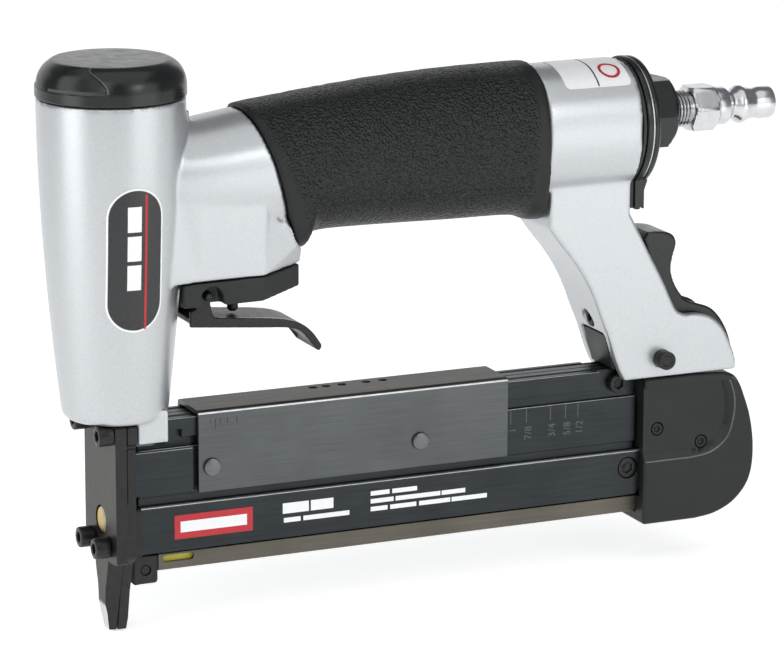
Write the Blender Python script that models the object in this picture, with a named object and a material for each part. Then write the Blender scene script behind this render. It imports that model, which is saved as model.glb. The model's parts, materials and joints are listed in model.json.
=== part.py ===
"""Pneumatic pin nailer for 23 gauge headless pins, as an assembly of separate solids.

Frame: the driver blade moves along Z at X = 0, Y = 0, and the nose tip is at Z = 0.
+X points to the rear (the air plug), +Z up the barrel, and -Y is the left-hand side.
Dimensions are written in millimetres, and add_part turns them into metres.
"""

import math

import bmesh
import bpy

MM = 0.001
GAP = 0.3  # clearance between neighbouring solids
SHARP = math.radians(35)

# Barrel and its cap
BARREL_BOTTOM = 58.5
BARREL_TOP = 143.2
CAP_RIM_RADIUS = 19.8
CAP_TOP = 154.0
CAP_TOP_RADIUS = 15.9
VALVE_BORE_RADIUS = 16.2
VALVE_BORE_FLOOR = 112.0
SLEEVE_BORE_RADIUS = 11.6
SLEEVE_BORE_FLOOR = 62.0
BLADE_HOLE_RADIUS = 2.2

# Firing group
CYLINDER_BORE_RADIUS = 9.6
BUMPER_TOP = 68.5
PISTON_BOTTOM = 119.3
PISTON_TOP = 126.8
PISTON_RADIUS = 9.2
BLADE_TIP = 50.5
BLADE_HALF_WIDTH = 1.0
BLADE_HALF_THICKNESS = 0.45
HEAD_VALVE_BOTTOM = 127.7

# Handle: x, half width, bottom and top of the metal surface next to the grip
HANDLE_STATIONS = (
    (9.0, 14.2, 108.0, 135.6),
    (22.0, 15.2, 107.0, 136.5),
    (34.0, 15.7, 106.0, 138.2),
    (47.0, 16.0, 105.0, 139.8),
    (62.0, 16.0, 105.0, 141.3),
    (76.0, 16.0, 105.2, 142.6),
    (94.0, 16.1, 105.0, 143.6),
    (112.0, 16.3, 105.4, 144.0),
    (122.0, 16.5, 108.6, 144.0),
    (147.0, 16.5, 108.8, 144.0),
)
HANDLE_EXPONENT = 2.3  # 2 is an ellipse, more is squarer
GRIP_PROUD = 1.1
CORE_RECESS = 1.6
CHAMBER_WALL = 5.0
GRIP_FRONT = (
    (34.2, 155), (34.4, 142), (36.9, 134), (40.1, 124.8), (42, 118.2), (43.8, 112.6), (46.6, 105.4),
    (49.8, 101.2), (51.4, 98.8),
)
GRIP_REAR = ((121.4, 98.0), (121.2, 103.0), (119.4, 112.0), (118.9, 128.0), (119.3, 155.0))

# Neck: a box under the handle tube, narrowing behind NECK_CREASE
NECK_HALF_WIDTH = 14.0
NECK_CREASE = 37.2
NECK_REAR = 49.5
NECK_REAR_HALF_WIDTH = 8.3
PASSAGE_HEIGHT = 124.0

# Rear leg and latch
LEG_HALF_WIDTH = 10.4
LEG_SLOT_HALF_WIDTH = 7.0
LATCH_PIVOT = (157.2, 60.7)
LATCH_PIN_RADIUS = 2.1
LATCH_PIN_REACH = 14.2
LATCH_PIN_HEAD_RADIUS = 2.6

# Handle cap and air plug
PLUG_HEIGHT = 128.5
HEAD_HEIGHT = 126.4
HEAD_FACE = 147.0
BOSS_FACE = 162.5
PLUG_THREAD_RADIUS = 4.7

# Trigger group
TRIGGER_PIVOT = (22.5, 91.0)
TRIGGER_HALF_WIDTH = 7.2
STEM_X = 33.5
VALVE_BODY_RADIUS = 5.2
STEM_RADIUS = 1.5

# Nose
PLATE_FRONT = -4.4
PLATE_REAR = -1.25
GUIDE_FRONT = -0.95
GUIDE_REAR = 1.8
NOSE_UPPER_SCREWS = (9.4, 55.9)
NOSE_LOWER_SCREWS = (5.9, 24.3)
NOSE_SCREW_SHANK_RADIUS = 1.5
NOSE_SCREW_HEAD_RADIUS = 2.8
NOSE_SCREW_HEAD_LENGTH = 4.0
BRASS_PLUG_HEIGHT = 30.4
BRASS_PLUG_RADIUS = 3.6

# Magazine, fixed part
RAIL_FRONT = 4.6
RAIL_REAR = 151.6
LABEL_RAIL_REAR = 153.8
UPPER_RAIL_FRONT = 12.3
PIN_CHANNEL_HALF_WIDTH = 1.6
UPPER_SCREW = (146.0, 53.6)
LOWER_SCREW = (149.2, 29.1)

# Selector cover with its detent
COVER_FRONT = 20.6
COVER_REAR = 111.3
COVER_HALF_WIDTH = 7.7
COVER_SHEET = 1.2
COVER_BOTTOM = 36.9
COVER_TOP = 59.2
RIVETS = ((24.3, 43.7), (85.0, 44.2))
RIVET_HEAD_RADIUS = 2.2
DETENT_X = 78.8
DETENT_Y = 3.6
DETENT_STEPS = (0.0, 4.9, 12.1, 16.8, 20.6)

# Magazine, sliding part
TRAY_FRONT = 9.9
TRAY_REAR = 160.0
TRAY_BOTTOM = 15.7
TRAY_TOP = 20.3
SPRING_Y = -1.8
SPRING_Z = 18.7
END_CAP_HALF_WIDTH = 10.0

MATERIALS = {}


# ---------------------------------------------------------------- helpers


def clear_scene():
    for old in list(bpy.data.objects):
        bpy.data.objects.remove(old, do_unlink=True)


def material(name, colour, roughness, metallic):
    made = bpy.data.materials.new(name)
    made.use_nodes = True
    shader = made.node_tree.nodes["Principled BSDF"]
    shader.inputs["Base Color"].default_value = (*colour, 1.0)
    shader.inputs["Roughness"].default_value = roughness
    shader.inputs["Metallic"].default_value = metallic
    made.diffuse_color = (*colour, 1.0)
    MATERIALS[name] = made


def make_materials():
    material("silver_paint", (0.62, 0.64, 0.67), 0.38, 0.6)
    material("black_plastic", (0.012, 0.013, 0.014), 0.28, 0.0)
    material("grip_rubber", (0.022, 0.024, 0.025), 0.75, 0.0)
    material("black_steel", (0.035, 0.037, 0.038), 0.42, 0.8)
    material("black_anodised", (0.03, 0.032, 0.033), 0.38, 0.8)
    material("grey_steel", (0.16, 0.165, 0.16), 0.4, 0.9)
    material("tray_steel", (0.11, 0.1, 0.085), 0.45, 0.9)
    material("bright_steel", (0.72, 0.73, 0.74), 0.22, 1.0)
    material("spring_steel", (0.45, 0.46, 0.47), 0.3, 1.0)
    material("brass", (0.6, 0.45, 0.2), 0.35, 1.0)
    material("yellow_paint", (0.62, 0.55, 0.05), 0.5, 0.0)
    material("seal_rubber", (0.03, 0.03, 0.03), 0.7, 0.0)
    material("aluminium", (0.66, 0.67, 0.68), 0.35, 1.0)


def add_part(name, bm, slot, pivot=(0, 0, 0), smooth=False):
    """Turns a bmesh in millimetres into an object in metres with its origin at pivot."""
    bmesh.ops.recalc_face_normals(bm, faces=bm.faces)
    bmesh.ops.translate(bm, vec=[-value for value in pivot], verts=bm.verts)
    bmesh.ops.scale(bm, vec=(MM, MM, MM), verts=bm.verts)
    mesh = bpy.data.meshes.new(name)
    bm.to_mesh(mesh)
    bm.free()
    part = bpy.data.objects.new(name, mesh)
    part.location = [value * MM for value in pivot]
    bpy.context.scene.collection.objects.link(part)
    if slot:
        mesh.materials.append(MATERIALS[slot])
    if smooth:
        mesh.shade_smooth()
        mesh.set_sharp_from_angle(angle=SHARP)
    return part


def combine(part, name, bm, operation):
    """Cuts a tool shape out of a part, or joins it on, and hides the tool."""
    tool = add_part(name, bm, None)
    tool.hide_render = True
    tool.display_type = "WIRE"
    modifier = part.modifiers.new(name, "BOOLEAN")
    modifier.operation = operation
    modifier.solver = "EXACT"
    modifier.object = tool
    return part


def cut(part, name, bm):
    return combine(part, f"{part.name}_cut_{name}", bm, "DIFFERENCE")


def join(part, name, bm):
    return combine(part, f"{part.name}_add_{name}", bm, "UNION")


PLANES = {"XZ": (0, 2, 1), "YZ": (1, 2, 0), "XY": (0, 1, 2)}


def prism(outline, plane, low, high, bm=None):
    """An outline in one plane, extruded along the plane's normal from low to high."""
    bm = bm or bmesh.new()
    first, second, along = PLANES[plane]
    corners = []
    for u, v in outline:
        place = [0.0, 0.0, 0.0]
        place[first], place[second], place[along] = u, v, low
        corners.append(bm.verts.new(place))
    face = bm.faces.new(corners)
    raised = bmesh.ops.extrude_face_region(bm, geom=[face])["geom"]
    shift = [0.0, 0.0, 0.0]
    shift[along] = high - low
    bmesh.ops.translate(bm, vec=shift, verts=[v for v in raised if isinstance(v, bmesh.types.BMVert)])
    return bm


def box(x, y, z, bm=None):
    outline = ((x[0], y[0]), (x[1], y[0]), (x[1], y[1]), (x[0], y[1]))
    return prism(outline, "XY", z[0], z[1], bm)


def ring_points(radius, height, steps, sides=0):
    """One ring of a turned part: a circle, or a polygon whose apothem is radius."""
    points = []
    for step in range(steps):
        angle = 2 * math.pi * step / steps
        reach = radius
        if sides:
            sector = 2 * math.pi / sides
            reach = radius / math.cos((angle % sector) - sector / 2)
        points.append((reach * math.cos(angle), reach * math.sin(angle), height))
    return points


AXES = {
    "Z": lambda u, v, w: (u, v, w),
    "X": lambda u, v, w: (w, u, v),
    "Y": lambda u, v, w: (v, w, u),
}


def turned(profile, axis, centre, steps=24, closed=False, bm=None):
    """A profile of (radius, height) or (apothem, height, sides) turned about an axis.

    An open profile starts and ends on the axis: level ends make flat caps, others make poles.
    """
    bm = bm or bmesh.new()
    rings = []
    for index, entry in enumerate(profile):
        if entry[0] == 0:
            neighbour = profile[1] if index == 0 else profile[-2]
            if neighbour[1] == entry[1]:
                continue
            points = [(0.0, 0.0, entry[1])]
        else:
            points = ring_points(entry[0], entry[1], steps, *entry[2:])
        ring = []
        for point in points:
            place = AXES[axis](*point)
            ring.append(bm.verts.new([place[i] + centre[i] for i in range(3)]))
        rings.append(ring)
    pairs = list(zip(rings, rings[1:]))
    if closed:
        pairs.append((rings[-1], rings[0]))
    for lower, upper in pairs:
        for i in range(steps):
            j = (i + 1) % steps
            below, above = len(lower), len(upper)
            corners = [lower[i % below], lower[j % below], upper[j % above], upper[i % above]]
            bm.faces.new(list(dict.fromkeys(corners)))
    if not closed:
        for ring in (rings[0], rings[-1]):
            if len(ring) > 1:
                bm.faces.new(ring)
    return bm


def rod(radius, low, high, axis, centre, steps=20, bm=None):
    profile = ((0, low), (radius, low), (radius, high), (0, high))
    return turned(profile, axis, centre, steps, bm=bm)


def torus(major, minor, axis, centre, steps=24, sides=5):
    profile = []
    for side in range(sides):
        angle = 2 * math.pi * side / sides
        profile.append((major + minor * math.cos(angle), minor * math.sin(angle)))
    return turned(profile, axis, centre, steps, closed=True)


def loft(rings):
    """Skins a list of rings with equal point counts, and closes both ends."""
    bm = bmesh.new()
    made = [[bm.verts.new(point) for point in ring] for ring in rings]
    count = len(made[0])
    for lower, upper in zip(made, made[1:]):
        for i in range(count):
            j = (i + 1) % count
            bm.faces.new((lower[i], lower[j], upper[j], upper[i]))
    bm.faces.new(made[0])
    bm.faces.new(made[-1])
    return bm


def coil(radius, wire, low, high, turns, axis, centre, per_turn=9, sides=4):
    """A helical spring of round wire between two heights along its axis."""
    rings = []
    steps = int(turns * per_turn)
    for step in range(steps + 1):
        angle = 2 * math.pi * step / per_turn
        height = low + wire + (high - low - 2 * wire) * step / steps
        ring = []
        for side in range(sides):
            tilt = 2 * math.pi * (side + 0.5) / sides
            reach = radius + wire * math.cos(tilt)
            point = (reach * math.cos(angle), reach * math.sin(angle), height + wire * math.sin(tilt))
            place = AXES[axis](*point)
            ring.append([place[i] + centre[i] for i in range(3)])
        rings.append(ring)
    return loft(rings)


def screw(name, centre, axis, outward, head, shank, socket, slot, pivot=(0, 0, 0)):
    """A socket head screw: head and shank are (radius, length), socket is (apothem, depth)."""
    profile = [
        (0, -shank[1]),
        (shank[0], -shank[1]),
        (shank[0], 0.0),
        (head[0], 0.0),
        (head[0], head[1]),
        (socket[0], head[1], 6),
        (socket[0], head[1] - socket[1], 6),
        (0, head[1] - socket[1]),
    ]
    profile = [(entry[0], entry[1] * outward, *entry[2:]) for entry in profile]
    return add_part(name, turned(profile, axis, centre, 12), slot, pivot, smooth=True)


# ---------------------------------------------------------------- handle shapes


def handle_ring(station, grow, steps=24):
    x, half_width, bottom, top = station
    centre = (bottom + top) / 2
    half_height = (top - bottom) / 2 + grow
    power = 2 / HANDLE_EXPONENT
    ring = []
    for step in range(steps):
        angle = 2 * math.pi * step / steps
        cosine, sine = math.cos(angle), math.sin(angle)
        y = (half_width + grow) * math.copysign(abs(cosine) ** power, cosine)
        z = centre + half_height * math.copysign(abs(sine) ** power, sine)
        ring.append((x, y, z))
    return ring


def handle_loft(grow, first, last, rear=None):
    stations = [s for s in HANDLE_STATIONS if first <= s[0] <= last]
    rings = [handle_ring(station, grow) for station in stations]
    if rear:
        rings.append(handle_ring((rear, *stations[-1][1:]), grow))
    return loft(rings)


def grip_region(spread):
    """The side outline that the grip fills, widened by spread at its two ends."""
    front = [(x - spread, z) for x, z in GRIP_FRONT]
    rear = [(x + spread, z) for x, z in GRIP_REAR]
    return front + [(GRIP_FRONT[-1][0], 92.0), (GRIP_REAR[0][0], 92.0)] + rear


def neck_box():
    """The flat-sided box that joins the barrel to the handle above the trigger."""
    stations = (
        (9.0, NECK_HALF_WIDTH, 95.2, 122.0),
        (19.0, NECK_HALF_WIDTH, 95.6, 122.0),
        (NECK_CREASE, NECK_HALF_WIDTH, 95.9, 121.0),
        (NECK_REAR, NECK_REAR_HALF_WIDTH, 97.3, 114.0),
    )
    rings = []
    for x, half_width, low, high in stations:
        corners = ((-half_width, low), (half_width, low), (half_width, high), (-half_width, high))
        rings.append([(x, y, z) for y, z in corners])
    return loft(rings)


def neck_taper(side, low, high):
    """A wedge outside the neck's narrowing sides, for trimming parts to its plan."""
    outline = (
        (NECK_CREASE, side * (NECK_HALF_WIDTH - 0.3)),
        (NECK_REAR + 6, side * (NECK_REAR_HALF_WIDTH - 0.3 - 6 * 0.46)),
        (NECK_REAR + 6, side * 30),
        (NECK_CREASE, side * 30),
    )
    return prism(outline, "XY", low, high)


# ---------------------------------------------------------------- housing


def barrel_shape():
    profile = (
        (0, BARREL_BOTTOM),
        (12.6, BARREL_BOTTOM),
        (14.2, 60.5),
        (15.2, 70.0),
        (16.9, 86.0),
        (18.4, 108.0),
        (19.5, BARREL_TOP),
        (0, BARREL_TOP),
    )
    return turned(profile, "Z", (0, 0, 0), 36)


def leg_outline():
    return (
        (122.2, 116), (122.2, 100.2), (125.4, 95.9), (129.9, 90.3), (133.4, 85), (136.2, 79.5),
        (138.5, 73.6), (140.8, 68.2), (142.6, 62.8), (144.4, 58.2), (146.1, 55.3), (180.6, 55.3),
        (180.8, 57.4), (179.9, 60.6), (177.5, 65.9), (175.1, 69.2), (171.9, 71.4), (168.3, 72.2),
        (164.7, 72.4), (161.9, 73.9), (160.1, 76.9), (157.3, 82.9), (153.6, 89.7), (149, 98.4),
        (146.8, 102.4), (146.8, 116),
    )


def leg_slot_outline():
    """The space between the cheeks, for the hanger in front and the latch lever behind."""
    return (
        (136, 50), (136, 68.5), (143.2, 68.5), (143.2, 78), (147.3, 84), (145, 96.5),
        (146.2, 99.6), (165, 99.6), (190, 80), (190, 50),
    )


def housing():
    part = add_part("housing", barrel_shape(), "silver_paint", smooth=True)
    shell = add_part("handle_metal", handle_loft(0.0, 9.0, 147.0), None)
    shell.hide_render = True
    shell.display_type = "WIRE"
    join(shell, "neck", neck_box())
    cut(shell, "grip", prism(grip_region(GAP), "XZ", -30, 30))
    modifier = part.modifiers.new("handle_metal", "BOOLEAN")
    modifier.operation = "UNION"
    modifier.object = shell
    join(part, "core", handle_loft(-CORE_RECESS, 22.0, 122.0, rear=130.0))
    join(part, "leg", prism(leg_outline(), "XZ", -LEG_HALF_WIDTH, LEG_HALF_WIDTH))
    join(part, "lug", box((2.2, 10.7), (-11.6, 11.6), (53.0, 61.5)))
    cut(part, "valve_bore", rod(VALVE_BORE_RADIUS, VALVE_BORE_FLOOR, 160, "Z", (0, 0, 0), 28))
    cut(part, "sleeve_bore", rod(SLEEVE_BORE_RADIUS, SLEEVE_BORE_FLOOR, 120, "Z", (0, 0, 0), 24))
    cut(part, "blade_hole", rod(BLADE_HOLE_RADIUS, 50, 70, "Z", (0, 0, 0), 16))
    cut(part, "air_chamber", handle_loft(-CHAMBER_WALL, 34.0, 147.0, rear=155.0))
    cut(part, "air_passage", rod(3.0, 10, 45, "X", (0, 0, PASSAGE_HEIGHT), 16))
    cut(part, "valve_seat", rod(VALVE_BODY_RADIUS + GAP, 90, 116, "Z", (STEM_X, 0, 0), 24))
    cut(part, "leg_slot", prism(leg_slot_outline(), "XZ", -LEG_SLOT_HALF_WIDTH, LEG_SLOT_HALF_WIDTH))
    pivot = (LATCH_PIVOT[0], 0, LATCH_PIVOT[1])
    cut(part, "latch_pin_hole", rod(LATCH_PIN_RADIUS + GAP, -15, 15, "Y", pivot, 20))
    cut(part, "leg_screw_hole", rod(2.6, 130, 141.4, "X", (0, 0, 71.7), 16))
    cut(part, "leg_thread_hole", rod(1.3 + GAP, 140, 145, "X", (0, 0, 71.7), 16))
    holes = bmesh.new()
    for side in (-1, 1):
        centre = (0, side * NOSE_UPPER_SCREWS[0], NOSE_UPPER_SCREWS[1])
        rod(NOSE_SCREW_SHANK_RADIUS + GAP, 0, 9.2, "X", centre, 16, holes)
    cut(part, "lug_holes", holes)
    notches = bmesh.new()
    for side in (-1, 1):
        centre = (0, side * NOSE_UPPER_SCREWS[0], NOSE_UPPER_SCREWS[1])
        rod(NOSE_SCREW_HEAD_RADIUS + 0.4, -20, PLATE_FRONT + 0.2, "X", centre, 20, notches)
    cut(part, "screw_head_notches", notches)


def top_cap():
    profile = (
        (0, CAP_TOP),
        (CAP_TOP_RADIUS, CAP_TOP),
        (17.6, 153.1),
        (19.1, 150.6),
        (CAP_RIM_RADIUS, 146.8),
        (CAP_RIM_RADIUS, BARREL_TOP + 1.2),
        (VALVE_BORE_RADIUS - GAP, BARREL_TOP + 1.2),
        (VALVE_BORE_RADIUS - GAP, 138.0),
        (12.6, 138.0),
        (12.6, 148.0),
        (0, 148.0),
    )
    add_part("top_cap", turned(profile, "Z", (0, 0, 0), 36), "black_plastic", smooth=True)


def cap_gasket():
    low, high = BARREL_TOP + GAP, BARREL_TOP + 1.2 - GAP
    profile = ((VALVE_BORE_RADIUS + 0.4, low), (19.2, low), (19.2, high), (VALVE_BORE_RADIUS + 0.4, high))
    add_part("cap_gasket", turned(profile, "Z", (0, 0, 0), 28, closed=True), "seal_rubber", smooth=True)


# ---------------------------------------------------------------- firing group


def cylinder():
    flange_low = VALVE_BORE_FLOOR + GAP
    profile = (
        (CYLINDER_BORE_RADIUS, SLEEVE_BORE_FLOOR + GAP),
        (SLEEVE_BORE_RADIUS - GAP, SLEEVE_BORE_FLOOR + GAP),
        (SLEEVE_BORE_RADIUS - GAP, flange_low),
        (VALVE_BORE_RADIUS - GAP, flange_low),
        (VALVE_BORE_RADIUS - GAP, flange_low + 3.7),
        (12.4, flange_low + 3.7),
        (12.4, HEAD_VALVE_BOTTOM - 0.4),
        (CYLINDER_BORE_RADIUS, HEAD_VALVE_BOTTOM - 0.4),
    )
    add_part("cylinder", turned(profile, "Z", (0, 0, 0), 24, closed=True), "aluminium", smooth=True)
    seal = torus(14.2, 1.3, "Z", (0, 0, flange_low + 5.4))
    add_part("cylinder_seal", seal, "seal_rubber", smooth=True)


def bumper():
    outer = CYLINDER_BORE_RADIUS - GAP
    low = SLEEVE_BORE_FLOOR + GAP
    profile = (
        (1.9, low),
        (outer, low),
        (outer, BUMPER_TOP - 1.4),
        (outer - 1.4, BUMPER_TOP),
        (3.0, BUMPER_TOP),
        (1.9, BUMPER_TOP - 1.0),
    )
    add_part("bumper", turned(profile, "Z", (0, 0, 0), 24, closed=True), "seal_rubber", smooth=True)


def piston_group():
    pivot = (0, 0, PISTON_BOTTOM)
    groove_low, groove_high = 122.0, 124.4
    profile = (
        (0, PISTON_BOTTOM),
        (7.6, PISTON_BOTTOM),
        (PISTON_RADIUS, PISTON_BOTTOM + 1.4),
        (PISTON_RADIUS, groove_low),
        (PISTON_RADIUS - 1.3, groove_low),
        (PISTON_RADIUS - 1.3, groove_high),
        (PISTON_RADIUS, groove_high),
        (PISTON_RADIUS, PISTON_TOP),
        (0, PISTON_TOP),
    )
    add_part("piston", turned(profile, "Z", (0, 0, 0), 24), "aluminium", pivot, smooth=True)
    inner = PISTON_RADIUS - 1.0
    outer = PISTON_RADIUS + 0.1
    ring = (
        (inner, groove_low + GAP),
        (outer, groove_low + GAP),
        (outer, groove_high - GAP),
        (inner, groove_high - GAP),
    )
    add_part("piston_ring", turned(ring, "Z", (0, 0, 0), 24, closed=True), "seal_rubber", pivot, smooth=True)
    blade = box(
        (-BLADE_HALF_THICKNESS, BLADE_HALF_THICKNESS),
        (-BLADE_HALF_WIDTH, BLADE_HALF_WIDTH),
        (BLADE_TIP, PISTON_BOTTOM - GAP),
    )
    add_part("driver_blade", blade, "bright_steel", pivot)


def head_valve():
    profile = (
        (0, HEAD_VALVE_BOTTOM),
        (13.0, HEAD_VALVE_BOTTOM),
        (13.6, 130.2),
        (VALVE_BORE_RADIUS - 0.4, 130.2),
        (VALVE_BORE_RADIUS - 0.4, 134.0),
        (6.0, 134.0),
        (6.0, 141.0),
        (0, 141.0),
    )
    pivot = (0, 0, HEAD_VALVE_BOTTOM)
    add_part("head_valve", turned(profile, "Z", (0, 0, 0), 24), "aluminium", pivot, smooth=True)
    spring = coil(9.2, 0.7, 134.0 + GAP, 148.0 - GAP, 3, "Z", (0, 0, 0), per_turn=10)
    add_part("head_valve_spring", spring, "spring_steel")


# ---------------------------------------------------------------- grip, handle cap, air plug


def grip_sleeve():
    """The rubber sleeve, with a lip under each end where the fingers stop."""
    lows = (
        (30, 99.9), (49.6, 99.9), (50.6, 100.4), (51.6, 102.2), (53, 103.6), (55, 104.2), (61, 104.5),
        (76, 104.3), (94, 103.9), (112, 103.6), (118, 101.9), (124, 101.6),
    )
    rings = []
    for x, low in lows:
        half_width, top = handle_size_at(x)
        station = (x, half_width + GRIP_PROUD, low, top + GRIP_PROUD)
        rings.append(handle_ring(station, 0.0))
    part = add_part("grip_sleeve", loft(rings), "grip_rubber", smooth=True)
    modifier = part.modifiers.new("ends", "BOOLEAN")
    modifier.operation = "INTERSECT"
    region = add_part("grip_sleeve_region", prism(grip_region(0.0), "XZ", -30, 30), None)
    region.hide_render = True
    region.display_type = "WIRE"
    modifier.object = region
    cut(part, "core", handle_loft(GAP - CORE_RECESS, 9.0, 122.0, rear=132.0))


def handle_size_at(x):
    """Half width and top of the handle at x, straight between its stations."""
    for before, after in zip(HANDLE_STATIONS, HANDLE_STATIONS[1:]):
        if before[0] <= x <= after[0]:
            share = (x - before[0]) / (after[0] - before[0])
            return (before[1] + share * (after[1] - before[1]), before[3] + share * (after[3] - before[3]))
    return HANDLE_STATIONS[-1][1], HANDLE_STATIONS[-1][3]


def flange_outline(grow):
    """The handle cap's outline in YZ: the round head with a tab down the leg."""
    points = []
    radius = 17.6 + grow
    half_width = 16.5 + grow
    tab = 9.0 + grow
    start = math.asin(tab / half_width)
    for step in range(25):
        angle = start + (2 * math.pi - 2 * start) * step / 24
        points.append((half_width * math.sin(angle), HEAD_HEIGHT - radius * math.cos(angle)))
    return points + [(-tab, 103.8), (tab, 103.8)]


def handle_cap():
    gasket = prism(flange_outline(0.0), "YZ", HEAD_FACE + GAP, HEAD_FACE + 1.1)
    part = add_part("handle_gasket", gasket, "seal_rubber")
    cut(part, "window", rod(12.4, 140, 156, "X", (0, 0, HEAD_HEIGHT), 24))
    flange_face = HEAD_FACE + 1.4
    part = add_part("handle_cap", prism(flange_outline(0.4), "YZ", flange_face, 152.9), "black_plastic")
    boss = ((0, 152.0), (9.3, 152.0, 6), (9.3, BOSS_FACE - 0.8, 6), (8.6, BOSS_FACE, 6), (0, BOSS_FACE))
    join(part, "boss", turned(boss, "X", (0, 0, PLUG_HEIGHT), 24))
    join(part, "spigot", rod(11.0, 143.5, 150, "X", (0, 0, HEAD_HEIGHT), 24))
    cut(part, "bore", rod(PLUG_THREAD_RADIUS + 0.4, 140, 170, "X", (0, 0, PLUG_HEIGHT), 20))
    cut(part, "tab_step", box((151.5, 156), (-12, 12), (100, 111)))


def air_plug():
    inner = 2.4
    profile = (
        (inner, 155.0),
        (PLUG_THREAD_RADIUS, 155.0),
        (PLUG_THREAD_RADIUS, 168.6),
        (6.0, 168.6, 6),
        (6.0, 176.6, 6),
        (5.2, 177.0),
        (5.2, 180.4),
        (3.7, 181.8),
        (5.2, 184.2),
        (5.2, 186.2),
        (4.1, 188.6),
        (4.5, 190.4),
        (4.5, 195.0),
        (inner, 195.0),
    )
    plug = turned(profile, "X", (0, 0, PLUG_HEIGHT), 18, closed=True)
    add_part("air_plug", plug, "bright_steel", smooth=True)


# ---------------------------------------------------------------- trigger group


def trigger_bracket():
    outline = (
        (14.4, 88.9), (14.4, 95.0), (18.9, 95.2), (37.2, 95.5), (49.3, 96.9), (49.3, 90.9),
        (36.5, 89.0), (26, 88.9),
    )
    part = add_part("trigger_bracket", prism(outline, "XZ", -13.7, 13.7), "black_plastic")
    for side in (-1, 1):
        cut(part, f"taper_{side + 1}", neck_taper(side, 80, 100))
    cut(part, "barrel", rod(18.0, 80, 100, "Z", (0, 0, 0), 36))
    room = TRIGGER_HALF_WIDTH + 0.4
    cut(part, "lever_slot", box((10, 41), (-room, room), (80, 93.1)))
    cut(part, "stem_hole", rod(STEM_RADIUS + 0.5, 90, 99, "Z", (STEM_X, 0, 0), 16))
    pivot = (TRIGGER_PIVOT[0], 0, TRIGGER_PIVOT[1])
    cut(part, "pin_hole", rod(1.0 + GAP, -16, 16, "Y", pivot, 16))
    notch = ((20.2, 91), (25.2, 91), (26.6, 86), (20.2, 86))
    for side in (-1, 1):
        reach = sorted((side * 10.2, side * 16))
        cut(part, f"notch_{side + 1}", rod(2.8, *reach, "Y", pivot, 20))
        cut(part, f"notch_mouth_{side + 1}", prism(notch, "XZ", *reach))
    add_part("trigger_pin", rod(1.0, -11.4, 11.4, "Y", pivot, 16), "black_steel", pivot, smooth=True)


def trigger_lever():
    """A bent steel channel: a flat web on top, two side walls and an arm up to the pin each side."""
    side = (
        (18.8, 82), (47.5, 79.2), (50.4, 77.8), (52.9, 75), (54.6, 72.8), (55.7, 72.2), (56.3, 73.4),
        (55.8, 75.6), (53.6, 78.6), (50.2, 81), (46.4, 82.2), (42, 82.6), (26, 84), (25, 87), (24.2, 91.6),
        (23.2, 92.6), (21.4, 92.6), (20.6, 91.4), (20.4, 87), (18.8, 86.2),
    )
    pivot = (TRIGGER_PIVOT[0], 0, TRIGGER_PIVOT[1])
    part = add_part(
        "trigger_lever", prism(side, "XZ", -TRIGGER_HALF_WIDTH, TRIGGER_HALF_WIDTH), "black_steel", pivot
    )
    inside = TRIGGER_HALF_WIDTH - 1.2
    hollow = (
        (17, 78), (17, 82.9), (26, 82.8), (45.4, 81.1), (49.4, 79.6), (52.4, 76.6), (54.6, 73.4), (53, 70),
    )
    cut(part, "channel", prism(hollow, "XZ", -inside, inside))
    cut(part, "arms", box((17, 30), (-inside, inside), (84.2, 96)))
    cut(part, "pin_hole", rod(1.0 + GAP, -16, 16, "Y", pivot, 16))


def trigger_valve():
    centre = (STEM_X, 0, 0)
    body = (
        (STEM_RADIUS + GAP, 95.9),
        (VALVE_BODY_RADIUS, 95.9),
        (VALVE_BODY_RADIUS, 112.0),
        (3.4, 112.0),
        (3.4, 101.5),
        (STEM_RADIUS + GAP, 101.5),
    )
    add_part("trigger_valve_body", turned(body, "Z", centre, 24, closed=True), "aluminium", smooth=True)
    stem = (
        (0, 83.7),
        (0.9, 83.7),
        (STEM_RADIUS, 84.2),
        (STEM_RADIUS, 101.8),
        (2.9, 101.8),
        (2.9, 104.0),
        (0, 104.0),
    )
    add_part(
        "trigger_valve_stem", turned(stem, "Z", centre, 18), "bright_steel", (STEM_X, 0, 83.7), smooth=True
    )
    spring = coil(2.4, 0.3, 104.0 + GAP, 111.6, 4, "Z", centre)
    add_part("trigger_valve_spring", spring, "spring_steel")


# ---------------------------------------------------------------- nose


def mirrored(half):
    """Closes a right-hand (y, z) outline with its mirror image."""
    return list(half) + [(-y, z) for y, z in reversed(half)]


def nose_screw_holes(low, high):
    bm = bmesh.new()
    for y, z in (NOSE_UPPER_SCREWS, NOSE_LOWER_SCREWS):
        for side in (-1, 1):
            rod(NOSE_SCREW_SHANK_RADIUS + GAP, low, high, "X", (0, side * y, z), 16, bm)
    return bm


def nose_plate():
    half = ((2.2, 0), (5.0, 9.5), (8.6, 19.4), (8.8, 20.4), (12.0, 20.8), (12.0, 58.2))
    part = add_part("nose_plate", prism(mirrored(half), "YZ", PLATE_FRONT, PLATE_REAR), "black_steel")
    tip = ((-6, 7.5), (PLATE_FRONT, 7.5), (-3.0, -0.5), (-6, -0.5))
    cut(part, "tip_slope", prism(tip, "XZ", -10, 10))
    cut(part, "screw_holes", nose_screw_holes(-8, 2))
    seat = rod(BRASS_PLUG_RADIUS + GAP, -8, -2.3, "X", (0, 0, BRASS_PLUG_HEIGHT), 24)
    cut(part, "plug_seat", seat)
    plug = rod(BRASS_PLUG_RADIUS, PLATE_FRONT + 0.2, -2.6, "X", (0, 0, BRASS_PLUG_HEIGHT), 24)
    add_part("brass_plug", plug, "brass", smooth=True)


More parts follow.
